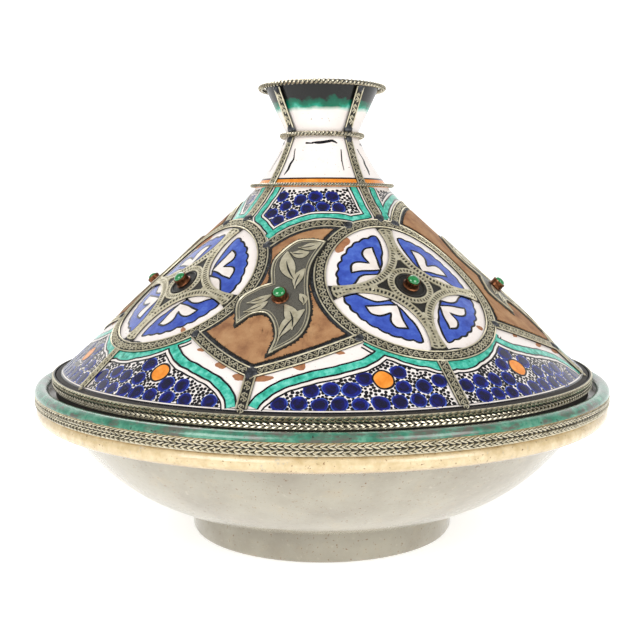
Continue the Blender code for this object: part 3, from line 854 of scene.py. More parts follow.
def make_bowl():
    """Bowl: glazed inside, with a green roll round the rim and stone glaze under it."""
    flange_z = RIM_TOP_Z - RIM_HEIGHT
    belly_z = flange_z + BELLY_RISE
    centre = (FOOT_RADIUS - BELLY_INSET, belly_z)
    depth = belly_z - FOOT_HEIGHT + 0.9
    reach = (RIM_RADIUS - FLANGE_WIDTH - centre[0]) / cos(asin(BELLY_RISE / depth))
    inside = (reach - BOWL_WALL, depth - BOWL_WALL)
    roll = RIM_WIDTH / 2
    roll_z = RIM_TOP_Z - roll
    braid_low = roll_z - 6.6
    well = [(0, belly_z - inside[1])]
    well += ellipse(centre, inside, -pi / 2, -asin((belly_z - LEDGE_Z) / inside[1]), 28)
    well += [(RIM_RADIUS - RIM_WIDTH, LEDGE_Z), (RIM_RADIUS - RIM_WIDTH, LEDGE_Z + 1)]
    rim = ellipse((RIM_RADIUS - roll, roll_z), (roll, roll), pi, 0, 18)
    neck_r = RIM_RADIUS - 2.2
    under = [(neck_r, roll_z - 0.3), (neck_r, braid_low + 0.3), (neck_r + 0.8, braid_low)]
    roll_below = ellipse((RIM_RADIUS - 5.2, braid_low - 4.0), (4.7, 4.4), radians(62), radians(-70), 14)
    flange = [(6.0, 2.0), (8.5, 1.2), (12.0, 0.5)]
    belly = [(RIM_RADIUS - inset, flange_z + above) for inset, above in flange]
    belly += ellipse(centre, (reach, depth), -asin(BELLY_RISE / depth), -acos(BELLY_INSET / reach), 40)
    belly += [(FOOT_RADIUS - 0.6, FOOT_HEIGHT - 2.5), (FOOT_RADIUS, FOOT_HEIGHT - 6)]
    belly += [(FOOT_RADIUS, 2.2), (FOOT_RADIUS - 0.7, 0.7), (FOOT_RADIUS - 2.2, 0)]
    base = [(FOOT_RADIUS - FOOT_WIDTH, 0), (FOOT_RADIUS - FOOT_WIDTH - 3, FOOT_RECESS), (0, FOOT_RECESS)]
    zones = [
        ("white_tin_glaze", well),
        ("green_rim_glaze", rim),
        ("stone_slip_glaze", under + roll_below + belly),
        ("bare_clay", base),
    ]
    piece("bowl_clay", lathe("bowl_clay", zones), "bowl", "glazed_clay", "bowl")


def make_lid():
    """Cone, neck and knob in white glaze, bare clay inside."""
    slants = np.linspace(LID_SLANT, 0, 110)
    outside = list(zip(*[axis.tolist() for axis in on_lid(slants, 0)]))
    cup_floor = KNOB_TOP_Z - KNOB_CUP_DEPTH
    flare = (KNOB_RADIUS - WAIST_RADIUS) / (KNOB_TOP_Z - WAIST_Z)
    cup_r = KNOB_RADIUS - KNOB_WALL
    floor_r = cup_r - KNOB_CUP_DEPTH * flare
    cup = [(0, cup_floor), (floor_r - 5, cup_floor + 0.2)]
    cup += [(floor_r - 1, cup_floor + 2), (floor_r + 1, cup_floor + 4)]
    cup += [(cup_r - 0.6, KNOB_TOP_Z - 2.2), (cup_r + 0.2, KNOB_TOP_Z - 0.6), (cup_r + 1.6, KNOB_TOP_Z)]
    cup += [(KNOB_RADIUS - 1.5, KNOB_TOP_Z)]
    drops = np.linspace(0.8, 27, 14).tolist()
    cup += [(KNOB_RADIUS - 0.7 - flare * drop, KNOB_TOP_Z - drop) for drop in drops]
    # The lid's edge below the cone is coloured nearly black: painted shade for the dark gap under the braid.
    edge = [(CONE_RADIUS + 1.5, CONE_Z - 0.1), (LID_EDGE_RADIUS - 0.4, CONE_Z - 0.5)]
    edge += [(LID_EDGE_RADIUS, CONE_Z - 1.3)]
    edge += [(LID_EDGE_RADIUS, LID_SEAT_Z + 1), (LID_EDGE_RADIUS - 0.3, LID_SEAT_Z + 0.3)]
    inner_slants = np.linspace(0, LID_SLANT - 20, 40)
    hollow = list(zip(*[axis.tolist() for axis in on_lid(inner_slants, -LID_WALL)]))
    top_r, top_z = hollow[-1]
    inside = [(LID_EDGE_RADIUS - 1.2, LID_SEAT_Z), (LID_EDGE_RADIUS - LID_EDGE_WIDTH, LID_SEAT_Z), *hollow]
    inside += [(top_r * 0.6, top_z + 4), (0, top_z + 5)]
    zones = [("white_tin_glaze", cup + outside), ("shaded_lid_edge", edge), ("bare_clay", inside)]
    piece("lid_clay", lathe("lid_clay", zones), "lid", "painted_glaze", "lid")


# Painting


def ring_centres(half):
    """Middles of the two medallion rings beside a shield."""
    return [on_ray(-half, RING_REACH), on_ray(half, RING_REACH)]


def around(centre, reach, angle):
    """Point at a reach and angle from a centre on the petal's diagonal."""
    return Vector((centre + reach * cos(angle), centre + reach * sin(angle)))


def petal_shapes():
    """Blue petal between two arms of the star: its own outline, its white lens, its white heart."""
    near = []
    for turn in np.radians(np.linspace(168.8, 280.9, 41)).tolist():
        share = min(max((turn - radians(205)) / radians(35), 0), 1)
        near.append(around(PETAL_HOLLOW, HOLLOW_RADIUS - 3.4 * (1 - share) - 0.2 * share, turn))
    first, last = atan2(near[-1].y, near[-1].x), atan2(near[0].y, near[0].x)
    far = []
    for i in range(1, 60):
        turn = (last - first) * i / 60
        scallop = 0.9 * abs(sin(PETAL_REACH * turn * pi / PETAL_SCALLOP))
        far.append(around(0, PETAL_REACH + scallop, first + turn))
    turns = [radians(268 - 36 * i / 16) for i in range(17)]
    lens = [around(PETAL_HOLLOW, HOLLOW_RADIUS + 1, turn) for turn in turns]
    for i, turn in reversed(list(enumerate(turns))):
        lens.append(around(PETAL_HOLLOW, HOLLOW_RADIUS - 4.6 * sin(pi * i / 16), turn))
    mirrored = [(y, x, corner) for x, y, corner in HALF_HEART[:0:-1]]
    return near + far, lens, smooth([*HALF_HEART, (17.2, 17.2, True), *mirrored])


def crescent_reach(turn):
    """How far the green crescent stands out past the ring's foot, at degrees about the ring's middle."""
    share = np.clip((np.asarray(turn) + 142) / 104, 0, 1)
    lobes = 1.3 * np.abs(np.sin(share * pi * 6)) * np.exp(-(((share - 0.52) / 0.2) ** 2))
    return 1.0 + 3.2 * np.sin(share * pi) ** 2 + lobes


PETAL_HOLLOW = 31.9  # the petal's inner edge runs round this point, across and up from the star's middle
HOLLOW_RADIUS = 29.1
PETAL_REACH = 37.3
PETAL_SCALLOP = 6.2
HALF_HEART = [
    # x, y, whether it is a corner: up one side from the point, round the lobe and in to the notch
    (12.2, 12.2, True),
    (12.0, 20.5, False),
    (11.8, 28.5, True),
    (16.8, 27.0, False),
    (18.8, 23.0, False),
]
ORANGE_SPOTS = [Vector((-39.4, -54.0)), Vector((39.4, -54.0))]


def paint_medallion():
    """Painting inside a medallion ring: four petals with scalloped edges and hearts."""
    work = Flatwork("black_glaze", "blue_glaze", "cream_glaze", "teal_glaze", "orange_glaze", "bare_clay")
    coats = ((1, "blue_glaze"), (3, "cream_glaze"), (3, "cream_glaze"))
    for flip_x, flip_y in ((1, 1), (1, -1), (-1, 1), (-1, -1)):
        for outline, (coat, material) in zip(petal_shapes(), coats):
            turned = turned_about([Vector((p.x * flip_x, p.y * flip_y)) for p in outline], STAR_LEAN)
            outlined(work, turned, coat, material, 1.1)
    turns = [-142 + 104 * i / 60 for i in range(61)]
    path = [Vector((RING_RADIUS * cos(radians(a)), RING_RADIUS * sin(radians(a)))) for a in turns]
    reach = crescent_reach(turns)
    coats = [("black_glaze", 2.9), ("cream_glaze", 2.0), ("black_glaze", 0.9), ("teal_glaze", 0.0)]
    stack(work, path, [(name, (2 * (reach + more)).tolist()) for name, more in coats], 4)
    for number, spot in enumerate(ORANGE_SPOTS):
        disc = [spot + p for p in wobbly_disc(5.2, number, 30, 0.03)]
        outlined(work, disc, 3, "orange_glaze", 1.0)
    for x, y, radius, seed in ((-24, 36, 4.2, 3), (-27, 32, 2.4, 4), (30, -28, 1.6, 8)):
        chip = [Vector((x, y)) + p for p in wobbly_disc(radius, seed, 20, 0.25)]
        paint(work, chip, 6, "bare_clay")
    return work.mesh("medallion_painting")


def ogee(start, end):
    """S-shaped side of the painted edging."""
    lean = end - start
    lean = Vector((lean.x * 0.14, lean.y * 0.51))
    return resampled(bezier(start, start + lean, end - lean, end, 24), 2.5)


def ogee_paths(half):
    """The two green lines that sweep down from the rings to the foot of the vee's strap."""
    foot = on_ray(FOOT_LEAN * cos(LID_SLOPE), RING_REACH + RING_SLANT - 2.6)
    made = []
    for side, ring in zip((-1, 1), ring_centres(half)):
        start = ring + Vector((-side * cos(radians(79)), -sin(radians(79)))) * (RING_RADIUS - 2)
        line = ogee(start, foot + Vector((side * 5.0, 0)))
        made.append([start + Vector((side * 4.6, 13.0)), start + Vector((side * 2.3, 6.5)), *line])
    return made


def lower_field(half, margin):
    """Where dots may lie along the lid's rim, clear of edging, straps, rings and spots."""
    rings = ring_centres(half)
    left, right = ogee_paths(half)
    foot = left[-1].lerp(right[-1], 0.5)
    apron = left + [foot] + right[::-1] + [Vector((0, RING_RADIUS))]
    lean = FOOT_LEAN * cos(LID_SLOPE)
    apex = Vector((0, RING_REACH))
    spots = []
    for turn in (-half, half):
        spots += [apex + Matrix.Rotation(turn, 2) @ (spot - apex) for spot in ORANGE_SPOTS]

    def inside(x, y):
        reach = np.hypot(x, RING_REACH - y)
        turn = np.arctan2(x, RING_REACH - y) - lean
        beside_strap = (BAND_WIDTH / 2 + 0.8 + margin) / reach
        slant = RING_SLANT + RING_REACH - reach
        keep = (slant > 1.8 + margin) & (slant < RING_SLANT) & (np.abs(turn) > beside_strap)
        keep &= np.abs(turn) < half - beside_strap
        keep &= ~in_outline(x, y, apron)
        keep &= distance_to(x, y, left + right) > 5.0 + margin
        for ring, side in zip(rings, (-half, half)):
            about = np.degrees(np.arctan2(y - ring.y, x - ring.x) - side)
            edge = RING_RADIUS + crescent_reach(about) + 2.6
            keep &= np.hypot(x - ring.x, y - ring.y) > edge + margin
        for spot in spots:
            keep &= np.hypot(x - spot.x, y - spot.y) > 6.0 + margin
        return keep

    return inside


def strap_azimuth(ring_azimuth, waist_azimuth, slant):
    """Where a neck strap runs at a slant: it leans over from its ring to the waist."""
    start = RING_SLANT + RING_RADIUS
    return ring_azimuth + (waist_azimuth - ring_azimuth) * ((slant - start) / (LID_SLANT - start)) ** 2


def arch_path(half, springs):
    """Line of the arch from ring to ring over a shield."""
    rings = ring_centres(half)
    reach = RING_RADIUS - 2
    left, right = [radians(a) for a in springs]
    start = rings[0] + Vector((cos(left), sin(left))) * reach
    end = rings[1] + Vector((-cos(right), sin(right))) * reach
    across = end - start
    return pulled(start, (start + end) / 2 + Vector((-across.y, across.x)) * ARCH_RISE, end, 28)


def upper_border(half, springs, straps):
    """Paths of the green lines round the upper field: down the left, over the arch, down the right."""
    sides = []
    for side, ring, spring, strap in zip((1, -1), ring_centres(half), springs, straps):
        path = []
        slant = COLLAR_SLANT
        while slant > RING_SLANT:
            reach = RING_REACH + RING_SLANT - slant
            turn = strap(slant) * cos(LID_SLOPE) + side * 6.0 / reach
            point = on_ray(turn, reach)
            if (point - ring).length < RING_RADIUS + 3.0:
                break
            path.append(point)
            slant -= 2
        from_top = path[-1] - ring
        start = atan2(from_top.y, from_top.x)
        end = radians(spring) + 0.06 if side > 0 else pi - radians(spring) - 0.06
        steps = max(2, ceil(abs(end - start) * 18))
        turns = [start + (end - start) * i / steps for i in range(1, steps + 1)]
        path += [ring + Vector((cos(a), sin(a))) * (RING_RADIUS + 3.0) for a in turns]
        sides.append(path)
    over = beside_path(arch_path(half, springs), 6.4)
    rings = ring_centres(half)
    over = [p for p in over if min((p - ring).length for ring in rings) > RING_RADIUS - 1]
    return sides[0], over, sides[1]


def upper_field(border, margin):
    """Where dots may lie in the panel above the arch."""
    left, over, right = border
    panel = left + over + right[::-1]

    def inside(x, y):
        keep = in_outline(x, y, panel) & (distance_to(x, y, left + over + right) > 3.9 + margin)
        reach = np.hypot(x, RING_REACH - y)
        return keep & (RING_SLANT + RING_REACH - reach < COLLAR_SLANT - 1.5 - margin)

    return inside


DOT_RADIUS = 1.16
DOT_SPACING = 1.82


def speckle(work, field, blob_radius, spacing, seed):
    """Blue dabs over a ground of close black dots. The field gives a region for a margin."""
    low, high = (-130.0, -90.0), (130.0, 90.0)
    scatter = TREES["scatter"]
    base = field_mesh(field(0.7), low, high)
    settings = {"Spacing": DOT_SPACING, "Smallest": 0.72, "Seed": seed}
    dots = grown(scatter, base, dot_motif(DOT_RADIUS, 7), "black_glaze", **settings)
    for vert in dots.vertices:
        vert.co.z += COAT
    work.take(dots, "black_glaze")
    for coat, share, material in ((2, 1.0, "blue_glaze"), (3, 0.9, "cobalt_glaze"), (4, 0.6, "navy_glaze")):
        outline = wobbly_disc(blob_radius * share, coat + seed, 24, 0.07)
        motif = flat_solid(outline, COAT * coat, COAT * coat + COAT, 50)
        base = field_mesh(field(blob_radius * 0.72), low, high)
        settings = {"Spacing": spacing, "Smallest": 0.86, "Seed": seed}
        work.take(grown(scatter, base, motif, material, **settings), material)


def paint_shield(half, springs, straps, seed):
    """Painting between two medallions: the two dotted fields and the green lines round them."""
    blues = ("cobalt_glaze", "navy_glaze", "blue_glaze")
    work = Flatwork("black_glaze", *blues, "cream_glaze", "teal_glaze", "bare_clay")
    speckle(work, lambda margin: lower_field(half, margin), 4.5, 9.0, seed)
    border = upper_border(half, springs, straps)
    speckle(work, lambda margin: upper_field(border, margin), 4.0, 8.3, seed + 10)
    core = [("black_glaze", 5.9), ("teal_glaze", 3.9)]
    for outward, path in zip((-1, 1), ogee_paths(half)):
        strip(work, path, 5.4, COAT * 4, "black_glaze", shift=outward * 2.5)
        strip(work, path, 4.4, COAT * 5, "cream_glaze", shift=outward * 2.2)
        stack(work, path, core, 6)
    slim = [("black_glaze", 8.0), ("cream_glaze", 6.6), ("black_glaze", 4.6), ("teal_glaze", 3.0)]
    for path in border:
        stack(work, resampled(path, 2.5), slim, 4)
    for side in vee_sides(half):
        for number in range(3 + seed % 3, len(side), 7):
            at = side[number] + Vector((0, -BAND_WIDTH / 2 - 1))
            chip = wobbly_disc(1.2 + 0.1 * number, number + seed, 18, 0.35)
            paint(work, [at + Vector((p.x * 1.6, p.y * 0.8)) for p in chip], 3, "bare_clay")
    return pushed_out(work.mesh("shield_painting"), ring_centres(half), RING_RADIUS - 3)


def pushed_out(mesh, rings, radius):
    """Slides what lies inside a ring's circle out to it, where the ring covers it."""
    for vert in mesh.vertices:
        for ring in rings:
            away = vert.co.xy - ring
            if away.length < radius:
                vert.co.xy = ring + away.normalized() * radius
    return mesh


def vee_sides(half):
    """Paths of the vee's two sides, from the rings down to its point."""
    point = on_ray(FOOT_LEAN * cos(LID_SLOPE), RING_REACH + RING_SLANT - VEE_FOOT)
    made = []
    for side, ring in zip((1, -1), ring_centres(half)):
        spring = ring + Vector((side * cos(VEE_SPRING), -sin(VEE_SPRING))) * (RING_RADIUS - 2)
        made.append(pulled(spring, (spring + point) / 2 - Vector((0, VEE_SAG)), point, 20))
    return made


def make_neck_bands():
    """Orange band above the collar, and the thin lines at the lid's edge and under the collar."""
    work = Flatwork("black_glaze", "orange_glaze", "cream_glaze")
    for slant, width, coat, material in (
        (COLLAR_SLANT + 3.0, 5.4, 2, "orange_glaze"),
        (COLLAR_SLANT + 6.1, 1.0, 3, "black_glaze"),
        (1.0, 2.0, 2, "black_glaze"),
        (1.25, 0.7, 3, "cream_glaze"),
    ):
        path = [Vector((x, slant)) for x in np.linspace(0, 360, 241).tolist()]
        strip(work, path, width, COAT * coat, material, lanes=3)

    def place(x, y, height):
        return round_axis(np.radians(x), *on_lid(y, height))

    piece("neck_bands", wrapped(work.mesh("neck_bands"), place), "lid", "painted_glaze")


STROKES = [
    ([(-4, 181.6), (0, 182.0), (4, 182.4), (8, 182.5), (11, 181.0)], [0.4, 1.6, 1.9, 2.0, 0.5]),
    ([(-3, 181.2), (-7, 181.0)], [0.5, 1.2]),
    ([(-13.4, 178.0), (-14.8, 171.0), (-17.5, 164.5), (-19.5, 161.0)], [0.5, 0.9, 1.8, 0.4]),
    ([(13.2, 177.0), (14.0, 170.0), (15.5, 164.0)], [0.4, 0.9, 0.4]),
]


def paint_neck(number):
    """Stray strokes of black between two straps."""
    work = Flatwork("black_glaze")
    for points, widths in STROKES:
        path = [Vector(p) for p in points]
        fine = resampled(path, 2.0)
        places = np.linspace(0, len(widths) - 1, len(fine))
        strip(work, fine, np.interp(places, range(len(widths)), widths).tolist(), COAT * 2, "black_glaze")
    azimuth = FIRST_STRAP + (2 * pi - FRONT_STRAPS) / 3 * (number - 0.5)
    if number == 0:
        azimuth = FIRST_STRAP - FRONT_STRAPS / 2
    chart = strap_chart(on_lid, lambda slant: azimuth)
    mesh = wrapped(work.mesh("strokes"), chart, 0.5)
    piece(f"neck_strokes_{number + 1}", mesh, "lid", "painted_glaze")


# Metalwork


DARK, PALE, BRIGHT = "blackened_nickel_silver", "worn_nickel_silver", "polished_nickel_silver"
VINE_PITCH = 5.2


def scroll_motif(height):
    """One wave of a vine, with a curl in each of its two bays."""
    work = Flatwork(PALE)
    places = np.linspace(-VINE_PITCH / 2, VINE_PITCH / 2, 10)
    wave = [(x, height * 0.42 * sin(2 * pi * x / VINE_PITCH), 0) for x in places.tolist()]
    work.tube(wave, 0, 0.34, PALE, sides=4)
    for way in (-1, 1):
        middle = (-way * VINE_PITCH / 4, way * height * 0.13)
        curl = circle(middle, height * 0.2, 7, pi * 0.2 * way, way * pi * 1.7)
        work.tube([(p.x, p.y, 0) for p in curl], 0, 0.28, PALE, sides=4)
    return work.mesh("scroll")


def metal_band(work, path, width, closed=False):
    """Dark strip with a pale wire along each edge and scrolls between them."""
    strip(work, path, width, METAL_BED + 0.3, DARK, closed=closed, depth=0.45)
    for shift in (width / 2 - 0.45, 0.45 - width / 2):
        work.tube(beside_path(path, shift, closed), METAL_BED + 0.4, 0.42, PALE, closed, sides=5)
    base = path_mesh(path, METAL_BED + 0.42, closed)
    work.take(grown(TREES["repeat"], base, scroll_motif(width - 2.2), PALE, Pitch=VINE_PITCH), PALE)


def ladder(work, path, width, closed=False, pitch=1.95):
    """Pale band pierced by a row of dark slots."""
    rail = width * 0.25
    for shift in ((width - rail) / 2, (rail - width) / 2):
        strip(work, path, rail, METAL_BED + 0.75, PALE, shift, closed, depth=0.5)
    rung = Flatwork(PALE)
    strip(rung, [Vector((-0.42, 0)), Vector((0.42, 0))], width * 0.55, METAL_BED + 0.7, PALE, depth=0.45)
    base = path_mesh(path, 0, closed)
    work.take(grown(TREES["repeat"], base, rung.mesh("rung"), PALE, Pitch=pitch), PALE)


def lump(work, x, y, radius, seed):
    """Blob of solder."""
    outline = wobbly_disc(radius, seed, 14, 0.2)
    bm = work.bm
    index = work.materials.index("solder")
    rows = []
    for share, height in ((1.0, 0.2), (0.85, 0.95), (0.5, 1.35)):
        rows.append([bm.verts.new((x + p.x * share, y + p.y * share, METAL_BED + height)) for p in outline])
    foot = bm.verts.new((x, y, METAL_BED + 0.2))
    top = bm.verts.new((x, y, METAL_BED + 1.45))
    count = len(outline)
    for k in range(count):
        j = (k + 1) % count
        faces = [(foot, rows[0][j], rows[0][k]), (rows[2][k], rows[2][j], top)]
        faces += [(a[k], a[j], b[j], b[k]) for a, b in zip(rows, rows[1:])]
        for face in faces:
            made = bm.faces.new(face)
            made.material_index = index
            made.smooth = True


def ring_mesh():
    """Engraved ring of a medallion."""
    work = Flatwork(DARK, PALE, "solder")
    path = circle((0, 0), RING_RADIUS - RING_WIDTH / 2, 120)
    metal_band(work, path, RING_WIDTH, closed=True)
    return work.mesh("ring")


def star_mesh():
    """Blackened star with a pierced band along each hollow side and round its hub."""
    work = Flatwork(DARK, PALE, "solder")
    tip = RING_RADIUS - RING_WIDTH - 0.3
    half = STAR_ARM / 2
    end = sqrt(tip**2 - half**2)
    middle = (half**2 + end**2 - STAR_WAIST**2) / (sqrt(2) * (half + end) - 2 * STAR_WAIST)
    offset = middle / sqrt(2)
    radius = middle - STAR_WAIST
    first = atan2(end - offset, half - offset)
    last = atan2(half - offset, end - offset) + 2 * pi
    plate = []
    turns = [first + (last - first) * i / 30 for i in range(31)]
    rail = [around(offset, radius + STAR_BAND / 2, a) for a in turns]
    rail = [p for p in rail if p.length < tip - 0.6]
    for arm in range(4):
        spin = STAR_LEAN - arm * pi / 2
        plate += turned_about([around(offset, radius, a) for a in turns], spin)
        ladder(work, turned_about(rail, spin), STAR_BAND)
        for reach, side_way, size in ((19.5, 0, 1.1), (21.5, 1.4, 0.8), (21.5, -1.4, 0.8), (23.4, 0, 0.8)):
            at = turned_about([Vector((side_way, reach))], spin)[0]
            knob = dot_motif(size, 8, 0.6, 0.45)
            for vert in knob.vertices:
                vert.co += Vector((at.x, at.y, METAL_BED + 0.55))
            work.take(knob, PALE)
    work.shape(plate, METAL_BED + 0.35, 0.4, DARK)
    ladder(work, circle((0, 0), 10.6, 72), 3.6, closed=True, pitch=1.85)
    work.tube(circle((0, 0), 7.6, 48), METAL_BED + 0.5, 0.4, DARK, closed=True)
    return work.mesh("star")


def straight(start, end):
    """Straight path in short steps."""
    return resampled([start, end], 3.0)


def foot_strap_path(top, lean=FOOT_LEAN):
    """Straight path down the lid to its rim."""
    turn = lean * cos(LID_SLOPE)
    return straight(on_ray(turn, top), on_ray(turn, RING_REACH + RING_SLANT - 1.2))


def foot_strap_mesh():
    """Engraved strap from a medallion ring down to the rim."""
    work = Flatwork(DARK, PALE, "solder")
    metal_band(work, foot_strap_path(RING_REACH + RING_RADIUS - 0.5), BAND_WIDTH)
    return work.mesh("foot_strap")


def outside_rings(path, half):
    """The part of a path that no medallion ring covers."""
    rings = ring_centres(half)
    return [p for p in path if min((p - ring).length for ring in rings) > RING_RADIUS - 0.8]


def arch_mesh(half, springs, seed):
    """Engraved band over a shield, with solder at both ends."""
    work = Flatwork(DARK, PALE, "solder")
    path = outside_rings(resampled(arch_path(half, springs), 2.5), half)
    metal_band(work, path, BAND_WIDTH)
    lump(work, path[0].x, path[0].y, 2.6, seed)
    lump(work, path[-1].x, path[-1].y, 2.8, seed + 1)
    return work.mesh("arch")


def vee_mesh(half, seed):
    """Two engraved bands that meet under a shield, and the strap below them."""
    work = Flatwork(DARK, PALE, "solder")
    for side in vee_sides(half):
        path = outside_rings(resampled(side, 2.5), half)
        metal_band(work, path, BAND_WIDTH)
        lump(work, path[0].x, path[0].y, 2.4, seed)
    point = path[-1]
    metal_band(work, foot_strap_path((point - Vector((0, RING_REACH))).length + 1), BAND_WIDTH)
    lump(work, point.x, point.y, 3.4, seed + 5)
    return work.mesh("vee")


def panel_region(half, springs, inset):
    """Test for the leather's region between the rings, the arch and the vee."""
    rings = ring_centres(half)
    arch = resampled(arch_path(half, springs), 1.0)
    left, right = [resampled(side, 1.0) for side in vee_sides(half)]
    panel = arch + right + left[::-1]

    def inside(x, y):
        keep = in_outline(x, y, panel)
        keep &= distance_to(x, y, arch + left + right) > BAND_WIDTH / 2 + inset
        for ring in rings:
            keep &= np.hypot(x - ring.x, y - ring.y) > RING_RADIUS + inset
        return keep

    return inside


def leather_mesh(half, springs, seed):
    """Tan panel, its edge cut in small teeth, on a tarnished bed that shows round it."""
    work = Flatwork(DARK, "tanned_goatskin", "solder")
    random = np.random.default_rng(seed)
    for centre in ((0, -24), (0, 32)):
        bed = outline_within(panel_region(half, springs, 0.1), centre, 360)
        work.shape(bed, METAL_BED + 0.15, 0.3, "solder")
        inner = outline_within(panel_region(half, springs, 2.1), centre, 720)
        jag = random.uniform(0.0, 1.0, len(inner)) ** 3
        middle = Vector(centre)
        toothed = [p + (middle - p).normalized() * (1.3 * j) for p, j in zip(inner, jag.tolist())]
        under = [p + (p - middle).normalized() * (0.5 + 0.8 * j) for p, j in zip(inner, jag[::-1].tolist())]
        work.shape(under, METAL_BED + 0.4, 0.3, DARK)
        work.shape(toothed, METAL_BED + 0.8, 0.5, "tanned_goatskin")
    return work.mesh("leather")


LEAF_CORNERS = [(15.9, 33.3), (-7.1, 1.9), (-19.8, -25.7), (-0.4, -44.9)]
LEAF_CURVES = [
    # From each corner to the next
    [(7.8, 34.0), (0.2, 31.7), (-8.0, 20.0), (-9.0, 12.0)],
    [(-13.5, -1.0), (-22.0, -9.0)],
    [(-12.5, -19.0), (-5.0, -19.5), (1.0, -32.0)],
    [(12.8, -32.6), (15.6, -18.0), (11.6, 1.2), (11.0, 16.0)],
]
LEAF_STUD = (-0.6, -8.3)
LEAF_PETALS = [
    # Tip, tail and how far the petal swells to its left, at its middle
    ((13.5, 31.5), (2.5, 27.0), 2.6),
    ((-2.5, 24.0), (5.5, 2.5), -4.2),
    ((8.5, 24.0), (-1.0, 23.5), 3.0),
    ((8.3, 12.0), (5.5, -2.0), -2.4),
    ((-5.5, -6.5), (-17.0, -11.5), 2.0),
    ((-6.5, -11.0), (-17.5, -17.5), 2.2),
    ((2.5, -13.0), (8.5, -29.0), 3.6),
    ((12.5, -15.5), (3.0, -36.0), -3.4),
    ((8.5, -5.5), (11.5, -12.5), 2.0),
]


def leaf_mesh():
    """Punched leaf with a wire rim and raised petals, on a ragged dark sheet that is painted shadow round its
    edge.
    """
    work = Flatwork("punched_nickel_silver", PALE, DARK, "solder")
    points = []
    for corner_point, curve in zip(LEAF_CORNERS, LEAF_CURVES):
        points += [(*corner_point, True), *[(*p, False) for p in curve]]
    outline = smooth(points, 8)
    base = METAL_BED + 1.1
    random = np.random.default_rng(5)
    # A ragged dark sheet just past the leaf's outline: painted shadow of the leaf on the leather.
    fine = resampled(outline + outline[:1], 0.8)[:-1]
    leaf_shadow_outline = [p + (q - p) * random.uniform(0.5, 1.6) for p, q in zip(fine, grow(fine, 1.0))]
    work.shape(leaf_shadow_outline, base - 0.1, 0.5, DARK)
    work.shape(outline, base + 0.5, 0.6, "punched_nickel_silver")
    work.tube([(p.x, p.y, 0) for p in grow(outline, -0.5)], base + 0.5, 0.42, PALE, closed=True, sides=5)
    inner = [(p.x, p.y, 0) for p in grow(outline, -1.9)]
    work.tube(inner, base + 0.48, 0.2, PALE, closed=True, sides=4)
    for tip, tail, swell in LEAF_PETALS:
        tip, tail = Vector(tip), Vector(tail)
        along = tail - tip
        side = Vector((-along.y, along.x)).normalized()
        path = pulled(tip, (tip + tail) / 2 + side * swell, tail, 10)
        widths = [0.7 + abs(swell) * 1.7 * sin(pi * min(i / 10 * 1.1, 1)) for i in range(11)]
        strip(work, path, [wide + 0.9 for wide in widths], base + 0.56, DARK, depth=0.3)
        strip(work, path, widths, base + 0.75, PALE, depth=0.4)
        slit = [0.2 + abs(swell) * 0.2 * sin(pi * i / 6) for i in range(7)]
        strip(work, path[3:10], slit, base + 0.8, DARK, depth=0.3)
    return work.mesh("leaf")


def stud_pieces(number, chart, x, y, height):
    """Green glass dome in a copper cup."""
    spots = chart(np.array([x, x]), np.array([y, y]), np.array([height, height + 1]))
    foot, above = [Vector(spot) for spot in spots]
    upright = (above - foot).to_track_quat("Z", "Y").to_matrix().to_4x4()
    standing = Matrix.Translation(foot) @ upright
    cup = [(0, 0), (4.3, 0), (4.4, 0.3), (3.8, 0.7), (3.65, 2.6), (3.85, 3.2), (3.7, 4.0), (3.3, 4.0)]
    cup += [(3.2, 1.4), (0, 1.3)]
    stone = [(0, 1.6), (3.1, 1.6), (3.12, 4.0)]
    stone += ellipse((0, 4.0), (3.1, 1.75), radians(8), pi / 2, 10)[:-1] + [(0, 5.75)]
    for name, material, profile, slot in (
        (f"cup_{number}", "aged_and_shaded_copper", cup, "copper"),
        (f"stone_{number}", "green_glass", stone, "green_glass"),
    ):
        mesh = lathe(name, [(material, profile)], 32)
        mesh.transform(standing)
        node_name = f"stone_cup_{number}" if slot == "copper" else f"glass_stone_{number}"
        piece(name, mesh, "lid", slot, node_name, angle=50)


def strap_mesh(start, end, width):
    """Engraved strap straight up a chart, with solder at both ends."""
    work = Flatwork(DARK, PALE, "solder")
    metal_band(work, straight(Vector((0, end)), Vector((0, start))), width)
    lump(work, 0, start + 0.6, 2.9, int(start))
    lump(work, 0, end - 0.8, 2.6, int(end))
    return work.mesh("strap")


def ring_extent(name):
    """Outer radius, bottom and top of a solid that runs round the pot."""
    low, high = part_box(name)
    return high.x / MM, low.z / MM, high.z / MM


def make_rope(name, pitch):
    """Two wires twisted into a ring, round a dark core."""
    outer, low, high = ring_extent(name)
    wire = (high - low) / 2
    radius, z = outer - wire, (low + high) / 2
    work = Flatwork(BRIGHT, DARK)
    steps = 8 * round(2 * pi * radius / pitch)
    for strand in (0, 1):
        path = []
        for i in range(steps):
            a = 2 * pi * i / steps
            b = 2 * pi * (i / 8 + strand / 2)
            r = radius + wire * 0.56 * cos(b)
            path.append((r * sin(a), -r * cos(a), z + wire * 0.56 * sin(b)))
        work.tube(path, 0, wire * 0.54, BRIGHT, closed=True, sides=6)
    turns = [2 * pi * i / 180 for i in range(180)]
    core = [(radius * sin(turn), -radius * cos(turn), z) for turn in turns]
    work.tube(core, 0, wire * 0.75, DARK, closed=True, sides=8)
    mesh = work.mesh(name)
    mesh.transform(Matrix.Scale(MM, 4))
    piece(f"{name}_rope", mesh, "lid", "white_metal", name)


def chevron_motif(way, width, height):
    """One plait of the braid: two strands that part along its way."""
    work = Flatwork(BRIGHT)
    for side in (-1, 1):
        path = [(-way * width / 2, 0, 0), (-way * width / 5, side * height * 0.16, 0.25)]
        path += [(way * width / 5, side * height * 0.34, 0.25), (way * width / 2, side * height * 0.48, 0)]
        work.tube(path, 0, [0.3, 0.56, 0.56, 0.25], BRIGHT, sides=5)
    return work.mesh("chevron")


